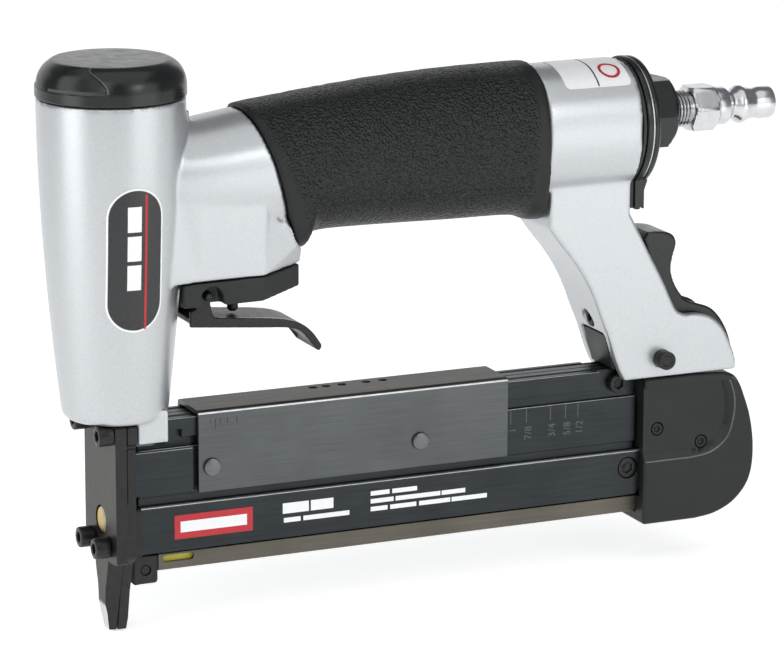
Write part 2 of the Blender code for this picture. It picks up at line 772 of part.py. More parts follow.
def driver_guide():
    half = ((2.6, 0), (4.8, 10.8), (7.6, 19.4), (10.6, 22.4), (10.6, 52.4), (12.0, 53.2), (12.0, 58.2))
    part = add_part("driver_guide", prism(mirrored(half), "YZ", GUIDE_FRONT, GUIDE_REAR), "black_steel")
    back = ((6, -1), (1.45, -1), (1.45, 0), (2.7, 11), (2.7, 19.2), (GUIDE_REAR, 20), (6, 20))
    cut(part, "back", prism(back, "XZ", -15, 15))
    cut(part, "blade_channel", box((-3, 0.75), (-1.3, 1.3), (-2, 60)))
    cut(part, "pin_mouth", box((0.5, 6), (-0.9, 0.9), (20.6, 46)))
    cut(part, "screw_holes", nose_screw_holes(-3, 8))


def nose_screws():
    names = {1: "right", -1: "left"}
    head = (NOSE_SCREW_HEAD_RADIUS, NOSE_SCREW_HEAD_LENGTH)
    for side, word in names.items():
        for level, (y, z), length in (("upper", NOSE_UPPER_SCREWS, 13.4), ("lower", NOSE_LOWER_SCREWS, 8.4)):
            seat = (PLATE_FRONT - GAP, side * y, z)
            shank = (NOSE_SCREW_SHANK_RADIUS, length)
            screw(f"nose_screw_{level}_{word}", seat, "X", -1, head, shank, (1.25, 2.0), "black_steel")


def foot_block():
    half = ((5.2, 12.6), (5.2, 20.4), (8.0, 21.2), (8.0, 34.0), (1.6, 34.0), (1.6, 20.4))
    part = add_part("foot_block", prism(mirrored(half), "YZ", 2.1, 4.3), "black_steel")
    toe = ((3.2, 12.6), (8.6, 12.6), (9.6, 13.6), (9.6, 20.1), (3.2, 20.1))
    join(part, "toe", prism(toe, "XZ", -5.0, 5.0))
    relief = ((1.9, 10), (1.9, 20.3), (3.0, 20.3), (3.0, 10))
    cut(part, "guide_relief", prism(relief, "XZ", -10, 10))
    cut(part, "screw_holes", nose_screw_holes(0, 6))


# ---------------------------------------------------------------- magazine, fixed part


def rail_outline(side):
    """One half of the magazine in YZ: label rail, scale bar and upper rail, with grooves between."""
    inner = PIN_CHANNEL_HALF_WIDTH
    points = (
        (inner, 21.1), (6.7, 21.1), (6.7, 33.4), (6.1, 34.0), (4.6, 34.2), (4.6, 36.2), (5.5, 36.4),
        (5.5, 49.4), (4.4, 49.6), (4.4, 52.1), (6.2, 52.3), (6.2, 57.6), (4.4, 57.6), (4.1, 57.1),
        (3.1, 57.1), (2.8, 57.6), (0.15, 57.6), (0.15, 47.4), (inner, 47.4),
    )
    return [(side * y, z) for y, z in points]


def magazine_sides():
    for side, word in ((-1, "left"), (1, "right")):
        profile = prism(rail_outline(side), "YZ", RAIL_FRONT, LABEL_RAIL_REAR)
        part = add_part(f"magazine_side_{word}", profile, "black_anodised")
        outer = sorted((0, side * 12))
        cut(part, "upper_end", box((RAIL_REAR, 160), outer, (34.1, 62)))
        cut(part, "lug_space", box((0, UPPER_RAIL_FRONT), outer, (50.4, 62)))
        cut(part, "flank", box((140, 160), sorted((side * 4.4, side * 12)), (50.6, 60)))
        upper = (UPPER_SCREW[0], 0, UPPER_SCREW[1])
        cut(part, "upper_hole", rod(1.5 + GAP, -14, 14, "Y", upper, 16))
        lower = (LOWER_SCREW[0], 0, LOWER_SCREW[1])
        cut(part, "lower_hole", rod(1.3 + GAP, *sorted((side * 2.4, side * 12)), "Y", lower, 16))
        cut(part, "lower_seat", rod(2.9 + GAP, *sorted((side * 4.9, side * 12)), "Y", lower, 20))
        chamfer = ((150.6, 20), (155, 20), (155, 24.2), (153.8, 24.2))
        cut(part, "rear_chamfer", prism(chamfer, "XZ", *outer))
        if side > 0:
            cut(part, "detent_pocket", rod(1.6, 50.4, 60, "Z", (DETENT_X, DETENT_Y, 0), 16))


def front_panels():
    for side, word in ((-1, "left"), (1, "right")):
        reach = sorted((side * 5.8, side * 7.5))
        add_part(f"front_panel_{word}", box((2.4, 19.3), reach, (37.4, 49.5)), "black_anodised")


def magazine_screws():
    x, z = UPPER_SCREW
    screw("rear_screw_upper", (x, -4.7, z), "Y", -1, (2.7, 2.0), (1.5, 8.8), (1.25, 1.3), "black_steel")
    for side, word in ((-1, "left"), (1, "right")):
        seat = (LOWER_SCREW[0], side * 5.2, LOWER_SCREW[1])
        screw(f"rear_screw_lower_{word}", seat, "Y", side, (2.9, 1.4), (1.3, 2.4), (1.4, 1.0), "black_steel")


def magazine_hanger():
    """The block that carries the magazine's rear end between the leg's cheeks."""
    outline = (
        (144, 57.9), (141.4, 67.9), (143.5, 68.1), (143.5, 77.6), (149.2, 77.6), (151.4, 68), (151.4, 57.9),
    )
    part = add_part("magazine_hanger", prism(outline, "XZ", -6.6, 6.6), "black_anodised")
    cut(part, "thread", rod(1.3 + GAP, 142, 148.4, "X", (0, 0, 71.7), 16))
    screw("leg_screw", (141.1, 0, 71.7), "X", -1, (2.3, 1.2), (1.3, 6.8), (1.0, 0.8), "black_steel")


# ---------------------------------------------------------------- selector cover


def cover_outline():
    inner = COVER_HALF_WIDTH - COVER_SHEET
    half = (
        (inner, COVER_TOP - COVER_SHEET - 0.1),
        (inner, COVER_BOTTOM),
        (COVER_HALF_WIDTH, COVER_BOTTOM),
        (COVER_HALF_WIDTH, COVER_TOP - 0.5),
        (COVER_HALF_WIDTH - 0.5, COVER_TOP),
    )
    return mirrored(half)


def selector_cover():
    pivot = (COVER_FRONT, 0, COVER_TOP)
    sheet = prism(cover_outline(), "YZ", COVER_FRONT, COVER_REAR)
    part = add_part("selector_cover", sheet, "grey_steel", pivot)
    holes = bmesh.new()
    for step in DETENT_STEPS:
        rod(1.25, 56, 62, "Z", (DETENT_X - step, DETENT_Y, 0), 14, holes)
    cut(part, "detent_holes", holes)
    sides = bmesh.new()
    for x, z in RIVETS:
        rod(1.2 + GAP, -12, 12, "Y", (x, 0, z), 14, sides)
    cut(part, "rivet_holes", sides)
    for place, (x, z) in zip(("front", "rear"), RIVETS):
        for side, word in ((-1, "left"), (1, "right")):
            head = COVER_HALF_WIDTH + GAP
            profile = (
                (0, 5.9), (1.2, 5.9), (1.2, head), (RIVET_HEAD_RADIUS, head),
                (RIVET_HEAD_RADIUS - 0.2, head + 0.8), (0, head + 0.8),
            )
            profile = [(radius, side * height) for radius, height in profile]
            rivet = turned(profile, "Y", (x, 0, z), 14)
            add_part(f"cover_rivet_{place}_{word}", rivet, "grey_steel", pivot, smooth=True)


def detent():
    radius = 1.2
    steps = 6
    profile = []
    for step in range(steps + 1):
        angle = math.pi * step / steps
        profile.append((radius * math.sin(angle) if 0 < step < steps else 0, -radius * math.cos(angle)))
    ball = turned(profile, "Z", (DETENT_X, DETENT_Y, 56.3), 12)
    add_part("detent_ball", ball, "bright_steel", smooth=True)
    spring = coil(0.9, 0.2, 50.8, 54.9, 3, "Z", (DETENT_X, DETENT_Y, 0), per_turn=8)
    add_part("detent_spring", spring, "spring_steel")


# ---------------------------------------------------------------- magazine, sliding part


def pin_tray():
    """A steel trough with one tall thin web that the pins stand against."""
    outline = (
        (-5, TRAY_BOTTOM), (5, TRAY_BOTTOM), (5, TRAY_TOP), (4, TRAY_TOP), (4, 17), (1.3, 17), (1.3, 46),
        (0.5, 46), (0.5, 17), (-4, 17), (-4, TRAY_TOP), (-5, TRAY_TOP),
    )
    pivot = (TRAY_FRONT, 0, TRAY_BOTTOM)
    part = add_part("pin_tray", prism(outline, "YZ", TRAY_FRONT, TRAY_REAR), "tray_steel", pivot)
    cut(part, "window", box((11.2, 20.0), (-8, -3.5), (17.9, 19.8)))
    anchor = box((149.0, 151.8), (-3.7, 0.2), (17.3, 20.0))
    add_part("spring_anchor", anchor, "black_steel", pivot)


def end_cap_outline():
    return (
        (152.6, 54.9), (170, 54.9), (177.4, 54.6), (180.2, 53.6), (182, 51.9), (184, 47.6), (186.2, 41),
        (187.4, 33.5), (187.2, 26.2), (185.4, 20.9), (181.2, 16.4), (175.4, 13.7), (169, 12.8), (152.6, 12.8),
    )


def end_cap():
    pivot = (152.6, 0, TRAY_BOTTOM)
    width = END_CAP_HALF_WIDTH
    part = add_part("end_cap", prism(end_cap_outline(), "XZ", -width, width), "black_plastic", pivot)
    panel = (
        (150, 31.3), (150, 52.3), (177.9, 52.3), (179.6, 49.9), (180.1, 44.2), (179.5, 38.6), (177.1, 34.5),
        (172.4, 32.1), (166.8, 31.3),
    )
    for side in (-1, 1):
        reach = sorted((side * (width - 1.0), side * (width + 4)))
        cut(part, f"panel_{side + 1}", prism(panel, "XZ", *reach))
    cut(part, "tray_pocket", box((150, TRAY_REAR + GAP), (-5.3, 5.3), (15.4, 20.6)))
    cut(part, "rail_pocket", box((150, LABEL_RAIL_REAR + GAP), (-7.1, 7.1), (20.4, 34.5)))
    cut(part, "web_pocket", box((150, TRAY_REAR + GAP), (0.2, 1.6), (18, 46.3)))
    holes = bmesh.new()
    screws = (("front", 157.0, 40.1), ("rear", 170.9, 35.0))
    for place, x, z in screws:
        rod(1.7 + GAP, -12, -7.6, "Y", (x, 0, z), 16, holes)
    cut(part, "screw_seats", holes)
    threads = bmesh.new()
    for place, x, z in screws:
        rod(0.9 + GAP, -9, -2.6, "Y", (x, 0, z), 16, threads)
    cut(part, "screw_threads", threads)
    for place, x, z in screws:
        screw(
            f"end_cap_screw_{place}", (x, -7.9, z), "Y", -1, (1.7, 1.2), (0.9, 4.8), (0.8, 0.8),
            "black_steel", pivot,
        )


def pusher():
    pivot = (12.0, 0, TRAY_BOTTOM)
    outline = (
        (-2.6, 17.3), (0.2, 17.3), (0.2, 44), (-0.6, 44), (-0.6, 20.0), (-2.6, 20.0),
    )
    add_part("pusher", prism(outline, "YZ", 11.4, 26.0), "bright_steel", pivot)
    add_part("load_indicator", box((11.5, 20.6), (-3.7, -2.9), (17.4, 20.0)), "yellow_paint", pivot)
    spring = coil(1.2, 0.25, 26.3, 148.7, 15, "X", (0, SPRING_Y, SPRING_Z), per_turn=6, sides=3)
    add_part("pusher_spring", spring, "spring_steel", pivot)


# ---------------------------------------------------------------- latch


def latch():
    outline = (
        (152.6, 60.5), (153.2, 66), (155, 75), (154.6, 88), (152.8, 94.4), (154.2, 95.8), (158.4, 95.8),
        (162.2, 94.9), (163.5, 92.6), (161.9, 88), (161.3, 85), (162.6, 80.6), (164.6, 77.6), (167, 75.2),
        (170.4, 74.2), (174.4, 72.8), (177.6, 69.6), (180, 65), (181.6, 60.4), (181.6, 58.6), (174, 58.2),
        (173, 55.6), (169.5, 55.6), (168.8, 58.2), (157.2, 57.6), (154, 58.4),
    )
    pivot = (LATCH_PIVOT[0], 0, LATCH_PIVOT[1])
    part = add_part("latch_lever", prism(outline, "XZ", -6.4, 6.4), "black_plastic", pivot)
    cut(part, "pin_hole", rod(LATCH_PIN_RADIUS + 0.4, -8, 8, "Y", pivot, 20))
    reach = LATCH_PIN_REACH
    radius = LATCH_PIN_RADIUS
    head = LATCH_PIN_HEAD_RADIUS
    under = LEG_HALF_WIDTH + GAP
    profile = (
        (0, -reach + 0.4), (1.2, -reach + 0.4), (1.6, -reach), (head - 0.4, -reach), (head, -reach + 0.4),
        (head, -under), (radius, -under), (radius, under), (head, under), (head, reach - 0.4),
        (head - 0.4, reach), (0, reach),
    )
    add_part("latch_pin", turned(profile, "Y", pivot, 20), "black_steel", smooth=True)
    spring = coil(2.0, 0.35, 147.7, 154.2, 4, "X", (0, 0, 88.0), per_turn=9)
    add_part("latch_spring", spring, "spring_steel")


def build():
    clear_scene()
    make_materials()
    housing()
    top_cap()
    cap_gasket()
    cylinder()
    bumper()
    piston_group()
    head_valve()
    grip_sleeve()
    handle_cap()
    air_plug()
    trigger_bracket()
    trigger_lever()
    trigger_valve()
    nose_plate()
    driver_guide()
    nose_screws()
    foot_block()
    magazine_sides()
    front_panels()
    magazine_screws()
    magazine_hanger()
    selector_cover()
    detent()
    pin_tray()
    end_cap()
    pusher()
    latch()


build()
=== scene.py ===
import json
import math

import bmesh
import bpy
from mathutils import Matrix, Vector


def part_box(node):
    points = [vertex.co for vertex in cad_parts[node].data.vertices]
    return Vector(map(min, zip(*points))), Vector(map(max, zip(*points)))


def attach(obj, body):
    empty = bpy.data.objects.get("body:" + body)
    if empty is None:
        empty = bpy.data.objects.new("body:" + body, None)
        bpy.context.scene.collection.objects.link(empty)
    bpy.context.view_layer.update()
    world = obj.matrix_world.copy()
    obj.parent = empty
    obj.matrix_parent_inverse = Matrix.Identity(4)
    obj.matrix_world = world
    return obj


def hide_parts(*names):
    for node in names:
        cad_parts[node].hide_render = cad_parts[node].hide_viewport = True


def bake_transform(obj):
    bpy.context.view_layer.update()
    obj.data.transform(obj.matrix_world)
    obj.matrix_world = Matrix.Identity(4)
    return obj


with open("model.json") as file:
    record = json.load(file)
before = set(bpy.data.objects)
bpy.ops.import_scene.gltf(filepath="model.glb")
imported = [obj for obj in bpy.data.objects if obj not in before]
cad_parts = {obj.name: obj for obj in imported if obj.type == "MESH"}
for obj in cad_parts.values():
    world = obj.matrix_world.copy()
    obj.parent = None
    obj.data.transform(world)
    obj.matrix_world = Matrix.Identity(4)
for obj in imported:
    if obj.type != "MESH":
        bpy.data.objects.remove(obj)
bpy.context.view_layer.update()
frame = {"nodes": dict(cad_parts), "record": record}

# Looks of the pneumatic pin nailer. Shapes are written in millimetres in the CAD frame:
# X = 0 is the driver's axis, +X the air plug's end, -Y the user's left, Z = 0 the nose tip.

MM = 0.001
BODY_OF = {node: body for body, nodes in frame["record"]["behaviour"]["bodies"].items() for node in nodes}
SLOT_OF = {entry["node"]: entry["material_slot"] for entry in frame["record"]["subparts"]}

SIDES = ((-1, "left"), (1, "right"))
LATCH_PIVOT = (157.2, 0, 60.7)
LATCH_PIN_REACH = 14.2
TRIGGER_PIVOT = (22.5, 0, 91)
STEM_AXIS = (33.5, 0, 0)
HEAD_CENTRE_Z = 126.4
AIR_AXIS = (0, 0, 128.5)
LEG_SCREW_AXIS = (0, 0, 71.7)
NOSE_SCREWS = (("upper", 9.4, 55.9, 13.4), ("lower", 5.9, 24.3, 8.4))    # word, Y, Z, shank length
BRASS_CENTRE = (0, 0, 30.4)
FOOT_PIN = (6.3, 0, 16.3)
UPPER_SCREW = (146.0, 53.6)
LOWER_SCREW = (149.2, 29.1)
DETENT_AXIS = (78.8, 3.6, 0)
DETENT_STEPS = (0.0, 4.9, 12.1, 16.8, 20.6)
COVER_RIVETS = (("front", 24.3, 43.7), ("rear", 85.0, 44.2))
END_CAP_SCREWS = (("front", 157.0, 40.1), ("rear", 170.9, 35.0))
PIN_SCALE = ((113.3, "1"), (118.1, "7/8"), (125.4, "3/4"), (130.1, "5/8"), (133.9, "1/2"))


# ---------------------------------------------------------------- mesh helpers


def corner(node, end):
    """A CAD node's lowest (0) or highest (1) corner in millimetres."""
    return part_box(node)[end] / MM


def link(obj):
    bpy.context.scene.collection.objects.link(obj)
    return obj


def new_object(name, bm):
    """A bmesh in millimetres as an object in metres."""
    bmesh.ops.recalc_face_normals(bm, faces=bm.faces)
    bmesh.ops.scale(bm, vec=(MM, MM, MM), verts=bm.verts)
    mesh = bpy.data.meshes.new(name)
    bm.to_mesh(mesh)
    bm.free()
    return link(bpy.data.objects.new(name, mesh))


def settle(obj):
    """Applies all of an object's modifiers."""
    graph = bpy.context.evaluated_depsgraph_get()
    mesh = bpy.data.meshes.new_from_object(obj.evaluated_get(graph))
    obj.modifiers.clear()
    old = obj.data
    obj.data = mesh
    bpy.data.meshes.remove(old)
    return obj


def combine(obj, tool, operation):
    """A boolean with another object, which is used up."""
    modifier = obj.modifiers.new("boolean", "BOOLEAN")
    modifier.operation = operation
    modifier.solver = "EXACT"
    modifier.object = tool
    settle(obj)
    bpy.data.objects.remove(tool, do_unlink=True)
    return obj


def cut(obj, bm):
    return combine(obj, new_object("tool", bm), "DIFFERENCE")


def join(obj, bm):
    return combine(obj, new_object("tool", bm), "UNION")


def bevel(obj, width, segments=3, angle=32):
    """Rounds an object's edges, and keeps its flat faces flat in shading."""
    modifier = obj.modifiers.new("bevel", "BEVEL")
    modifier.width = width * MM
    modifier.segments = segments
    modifier.limit_method = "ANGLE"
    modifier.angle_limit = math.radians(angle)
    modifier.miter_outer = "MITER_ARC"
    settle(obj)
    obj.data.shade_smooth()
    obj.modifiers.new("normals", "WEIGHTED_NORMAL").weight = 80
    return settle(obj)


def cast(obj, voxel, rounds):
    """Remeshes an object and smooths it, which rounds its edges and fills its inner corners."""
    remesh = obj.modifiers.new("remesh", "REMESH")
    remesh.mode = "VOXEL"
    remesh.voxel_size = voxel * MM
    smooth = obj.modifiers.new("smooth", "SMOOTH")
    smooth.factor = 0.5
    smooth.iterations = rounds
    settle(obj)
    obj.data.shade_smooth()
    return obj


def soften(obj, angle):
    """Smooth shading, with sharp edges above an angle."""
    obj.data.shade_smooth()
    obj.data.set_sharp_from_angle(angle=math.radians(angle))


def restyle_faces(obj, test, material="bare_edge_and_highlight"):
    """Gives the faces whose centre (mm) and normal pass a test another material: usually bare edges with a
    painted highlight, picked by the way they face the lamps.
    """
    obj.data.materials.append(MATERIALS[material])
    index = len(obj.data.materials) - 1
    for face in obj.data.polygons:
        if test(face.center / MM, face.normal):
            face.material_index = index


def dress(obj, material, body, angle=None):
    """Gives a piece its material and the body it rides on."""
    obj.data.materials.clear()
    obj.data.materials.append(MATERIALS[material])
    if angle:
        soften(obj, angle)
    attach(obj, body)


def finish_piece(obj, material, node, angle=None):
    """Dresses a piece as the CAD node that it stands for, on that node's body, and hides that node."""
    dress(obj, material, BODY_OF[node], angle)
    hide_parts(node)


PLANES = {"XZ": (0, 2, 1), "YZ": (1, 2, 0), "XY": (0, 1, 2)}


def prism(outline, plane, low, high, bm=None):
    """An outline in one plane, extruded along the plane's normal from low to high."""
    bm = bm or bmesh.new()
    first, second, along = PLANES[plane]
    ends = []
    for level in (low, high):
        ring = []
        for u, v in outline:
            place = [0.0, 0.0, 0.0]
            place[first], place[second], place[along] = u, v, level
            ring.append(bm.verts.new(place))
        ends.append(ring)
    bm.faces.new(ends[0])
    bm.faces.new(ends[1])
    for i in range(len(outline)):
        j = (i + 1) % len(outline)
        bm.faces.new((ends[0][i], ends[0][j], ends[1][j], ends[1][i]))
    return bm


def box(x, y, z, bm=None):
    outline = ((x[0], y[0]), (x[1], y[0]), (x[1], y[1]), (x[0], y[1]))
    return prism(outline, "XY", z[0], z[1], bm)


def skin(rings, bm=None, closed=False, capped=True):
    """Faces between rings of equal point counts."""
    bm = bm or bmesh.new()
    made = [[bm.verts.new(point) for point in ring] for ring in rings]
    count = len(made[0])
    pairs = list(zip(made, made[1:]))
    if closed:
        pairs.append((made[-1], made[0]))
    for lower, upper in pairs:
        for i in range(count):
            j = (i + 1) % count
            bm.faces.new((lower[i], lower[j], upper[j], upper[i]))
    if capped and not closed:
        bm.faces.new(made[0])
        bm.faces.new(made[-1])
    return bm


AXES = {
    "Z": lambda u, v, w: (u, v, w),
    "X": lambda u, v, w: (w, u, v),
    "Y": lambda u, v, w: (v, w, u),
}


def ring(radius, height, steps, axis, centre, sides=0, limit=None):
    """A circle across an axis, or a polygon whose apothem is radius, trimmed to a limit radius."""
    points = []
    for step in range(steps):
        angle = 2 * math.pi * step / steps
        reach = radius
        if sides:
            sector = 2 * math.pi / sides
            reach = radius / math.cos((angle % sector) - sector / 2)
            reach = min(reach, limit or reach)
        place = AXES[axis](reach * math.cos(angle), reach * math.sin(angle), height)
        points.append([place[i] + centre[i] for i in range(3)])
    return points


def turned(profile, axis, centre, steps=64, closed=False, bm=None):
    """A profile of (radius, height) or (apothem, height, sides, limit) turned about an axis."""
    rings = [ring(entry[0], entry[1], steps, axis, centre, *entry[2:]) for entry in profile]
    return skin(rings, bm, closed)


def rod(radius, low, high, axis, centre, steps=40, bm=None):
    return turned(((radius, low), (radius, high)), axis, centre, steps, bm=bm)


def spline(points, steps=5):
    """A smooth open curve through the points."""
    ends = [points[0], *points, points[-1]]
    made = []
    for p, q, r, s in zip(ends, ends[1:], ends[2:], ends[3:]):
        for step in range(steps):
            t = step / steps
            made.append(
                tuple(
                    b + 0.5 * t * (c - a + t * (2 * a - 5 * b + 4 * c - d + t * (3 * (b - c) + d - a)))
                    for a, b, c, d in zip(p, q, r, s)
                )
            )
    return made + [tuple(points[-1])]


def rounded(points, radius, steps=4):
    """Rounds each corner of a closed outline, by one radius or by one for each corner."""
    made = []
    count = len(points)
    for i, here in enumerate(points):
        reach = radius[i] if isinstance(radius, (list, tuple)) else radius
        if reach <= 0:
            made.append(tuple(here))
            continue
        here = Vector(here)
        before, after = Vector(points[i - 1]) - here, Vector(points[(i + 1) % count]) - here
        turn = before.angle(after) / 2
        back = min(reach / math.tan(turn), before.length * 0.45, after.length * 0.45)
        start, end = here + before.normalized() * back, here + after.normalized() * back
        for step in range(steps + 1):
            t = step / steps
            made.append(tuple((1 - t) ** 2 * start + 2 * t * (1 - t) * here + t * t * end))
    return made


def coil(radius, wire, low, high, turns, axis, centre, per_turn=20, sides=7):
    """A helical spring of round wire with closed ends."""
    rings = []
    steps = int(turns * per_turn)
    for step in range(steps + 1):
        angle = 2 * math.pi * step / per_turn
        height = low + wire + (high - low - 2 * wire) * step / steps
        around = []
        for side in range(sides):
            tilt = 2 * math.pi * side / sides
            reach = radius + wire * math.cos(tilt)
            level = height + wire * math.sin(tilt)
            place = AXES[axis](reach * math.cos(angle), reach * math.sin(angle), level)
            around.append([place[i] + centre[i] for i in range(3)])
        rings.append(around)
    return skin(rings)


def socket_screw(name, seat, axis, outward, head, shank, socket):
    """A socket head screw with a rounded rim: head, shank and socket are (radius, length)."""
    radius, length = head
    rim = 0.16 * radius
    profile = [
        (0.02, -shank[1], 0), (shank[0] - 0.2, -shank[1], 0), (shank[0], -shank[1] + 0.2, 0),
        (shank[0], 0, 0), (radius - 0.1, 0, 0), (radius, 0.1, 0), (radius, length - rim, 0),
        (radius - 0.3 * rim, length - 0.3 * rim, 0), (radius - rim, length, 0),
        (socket[0] + 0.22, length, 6), (socket[0], length - 0.18, 6), (socket[0], length - socket[1], 6),
        (0.02, length - socket[1] - 0.3, 0),
    ]
    profile = [(entry[0], entry[1] * outward, *([entry[2]] if entry[2] else [])) for entry in profile]
    made = new_object(name + "_detail", turned(profile, axis, seat, 48))
    finish_piece(made, "black_oxide", name, angle=35)


# ---------------------------------------------------------------- material helpers


MATERIALS = {}


class Shader:
    """A Principled material that is built up node by node."""

    def __init__(self, name, colour, roughness, metallic=0.0):
        self.made = bpy.data.materials.new(name)
        self.made.use_nodes = True
        self.tree = self.made.node_tree
        self.bsdf = self.tree.nodes["Principled BSDF"]
        self.bsdf.inputs["Base Color"].default_value = (*colour, 1.0)
        self.bsdf.inputs["Roughness"].default_value = roughness
        self.bsdf.inputs["Metallic"].default_value = metallic
        self.made.diffuse_color = (*colour, 1.0)
        self.coords = self.tree.nodes.new("ShaderNodeTexCoord").outputs["Object"]
        self.normal = None
        MATERIALS[name] = self.made

    def node(self, kind, inputs=None, **settings):
        made = self.tree.nodes.new(kind)
        for key, value in settings.items():
            setattr(made, key, value)
        for key, value in (inputs or {}).items():
            self.plug(value, made.inputs[key])
        return made

    def plug(self, value, socket):
        if isinstance(value, bpy.types.NodeSocket):
            self.tree.links.new(value, socket)
        else:
            socket.default_value = value

    def stretched(self, scale):
        return self.node("ShaderNodeMapping", {"Vector": self.coords, "Scale": scale}).outputs["Vector"]

    def noise(self, scale, detail=3.0, rough=0.5, vector=None):
        inputs = {"Vector": vector or self.coords, "Scale": scale, "Detail": detail, "Roughness": rough}
        return self.node("ShaderNodeTexNoise", inputs).outputs["Fac"]

    def cells(self, scale, feature="F1", output="Distance", vector=None):
        inputs = {"Vector": vector or self.coords, "Scale": scale}
        return self.node("ShaderNodeTexVoronoi", inputs, feature=feature).outputs[output]

    def remap(self, value, low, high, to_low=0.0, to_high=1.0):
        inputs = {"Value": value, "From Min": low, "From Max": high, "To Min": to_low, "To Max": to_high}
        return self.node("ShaderNodeMapRange", inputs).outputs["Result"]

    def maths(self, operation, first, second):
        made = self.tree.nodes.new("ShaderNodeMath")
        made.operation = operation
        self.plug(first, made.inputs[0])
        self.plug(second, made.inputs[1])
        return made.outputs[0]

    def mix(self, share, first, second):
        """A colour between first and second."""
        made = self.node("ShaderNodeMix", data_type="RGBA")
        for value, socket in ((share, made.inputs[0]), (first, made.inputs[6]), (second, made.inputs[7])):
            if isinstance(value, tuple) and len(value) == 3:
                value = (*value, 1.0)
            self.plug(value, socket)
        return made.outputs[2]

    def axis(self, name):
        return self.node("ShaderNodeSeparateXYZ", {"Vector": self.coords}).outputs[name]

    def colour(self, value):
        self.plug(value, self.bsdf.inputs["Base Color"])

    def roughness(self, value):
        self.plug(value, self.bsdf.inputs["Roughness"])

    def bump(self, height, strength, distance):
        inputs = {"Height": height, "Strength": strength, "Distance": distance * MM}
        if self.normal:
            inputs["Normal"] = self.normal
        self.normal = self.node("ShaderNodeBump", inputs).outputs["Normal"]
        self.plug(self.normal, self.bsdf.inputs["Normal"])

    def set(self, name, value):
        self.bsdf.inputs[name].default_value = value


def silver_paint():
    """Silver paint with a fine metallic flake."""
    made = Shader("silver_paint", (0.62, 0.63, 0.66), 0.34, 0.7)
    flakes = made.cells(5200, output="Color")
    value = made.node("ShaderNodeSeparateColor", {"Color": flakes}).outputs["Red"]
    made.colour(made.mix(value, (0.45, 0.472, 0.487), (0.53, 0.552, 0.567)))
    made.roughness(made.remap(value, 0.0, 1.0, 0.3, 0.4))
    made.bump(made.noise(2600, 2.0), 0.1, 0.03)
    made.set("Coat Weight", 0.3)
    made.set("Coat Roughness", 0.2)


def gloss_black():
    made = Shader("gloss_black", (0.006, 0.0075, 0.0075), 0.26)
    made.roughness(made.remap(made.noise(260, 4.0), 0.3, 0.7, 0.22, 0.32))
    made.bump(made.noise(1500, 2.0), 0.05, 0.04)
    made.set("Specular IOR Level", 0.45)


def moulded_black():
    """Spark-eroded black plastic."""
    made = Shader("moulded_black", (0.009, 0.0092, 0.0095), 0.42)
    grain = made.noise(2600, 2.0)
    made.roughness(made.remap(made.noise(120, 4.0), 0.3, 0.7, 0.36, 0.48))
    made.colour(made.mix(made.noise(90, 4.0), (0.007, 0.0085, 0.0083), (0.012, 0.0142, 0.0138)))
    made.bump(grain, 0.2, 0.07)
    made.set("Specular IOR Level", 0.35)


def grip_rubber():
    """Soft black rubber with a pebbled grain, smooth towards its two ends."""
    made = Shader("grip_rubber", (0.006, 0.0062, 0.0065), 0.45)
    stir = made.node("ShaderNodeTexNoise", {"Vector": made.coords, "Scale": 700.0}).outputs["Color"]
    warped = made.node("ShaderNodeVectorMath", {0: made.coords, 1: stir}, operation="ADD")
    wobble = made.node("ShaderNodeMix", data_type="VECTOR")
    made.plug(0.0008, wobble.inputs[0])
    made.plug(made.coords, wobble.inputs[4])
    made.plug(warped.outputs["Vector"], wobble.inputs[5])
    pebbles = made.cells(1500, feature="SMOOTH_F1", vector=wobble.outputs[1])
    fine = made.noise(3600, 2.0)
    x, z = made.axis("X"), made.axis("Z")
    slant = made.maths("ADD", x, made.maths("MULTIPLY", made.maths("SUBTRACT", z, 0.128), 0.40))
    front = made.remap(slant, 0.0405, 0.0425)
    rear = made.remap(x, 0.1160, 0.1135)
    grained = made.maths("MULTIPLY", front, rear)
    height = made.maths("MULTIPLY", made.remap(pebbles, 0.0, 0.7, 1.0, 0.0), grained)
    # painted shade and glint: the pebbles' hollows are coloured darker and their tops lighter, on top of the
    # bump
    made.colour(made.mix(height, (0.003, 0.0036, 0.0036), (0.014, 0.016, 0.0158)))
    made.roughness(made.remap(height, 0.0, 1.0, 0.5, 0.3))
    made.bump(height, 1.0, 0.8)
    made.bump(fine, 0.15, 0.05)
    made.set("Specular IOR Level", 0.4)


def steel(name, dark, light, roughness, stretch, strength, metallic=1.0):
    """Steel brushed along one direction: stretch is the scale of the strokes along X, Y and Z."""
    made = Shader(name, light, roughness, metallic)
    strokes = made.noise(1.0, 4.0, 0.6, made.stretched(stretch))
    cloud = made.noise(60, 4.0)
    made.colour(made.mix(made.maths("MULTIPLY", strokes, made.remap(cloud, 0.3, 0.7, 0.7, 1.2)), dark, light))
    made.roughness(made.remap(strokes, 0.3, 0.7, roughness - 0.07, roughness + 0.08))
    made.bump(strokes, strength, 0.03)
    return made


def black_oxide():
    made = Shader("black_oxide", (0.02, 0.0205, 0.021), 0.36, 0.6)
    made.colour(made.mix(made.noise(700, 4.0), (0.012, 0.0125, 0.013), (0.032, 0.032, 0.032)))
    made.roughness(made.remap(made.noise(1400, 3.0), 0.3, 0.7, 0.28, 0.44))
    made.bump(made.noise(2500, 2.0), 0.1, 0.04)


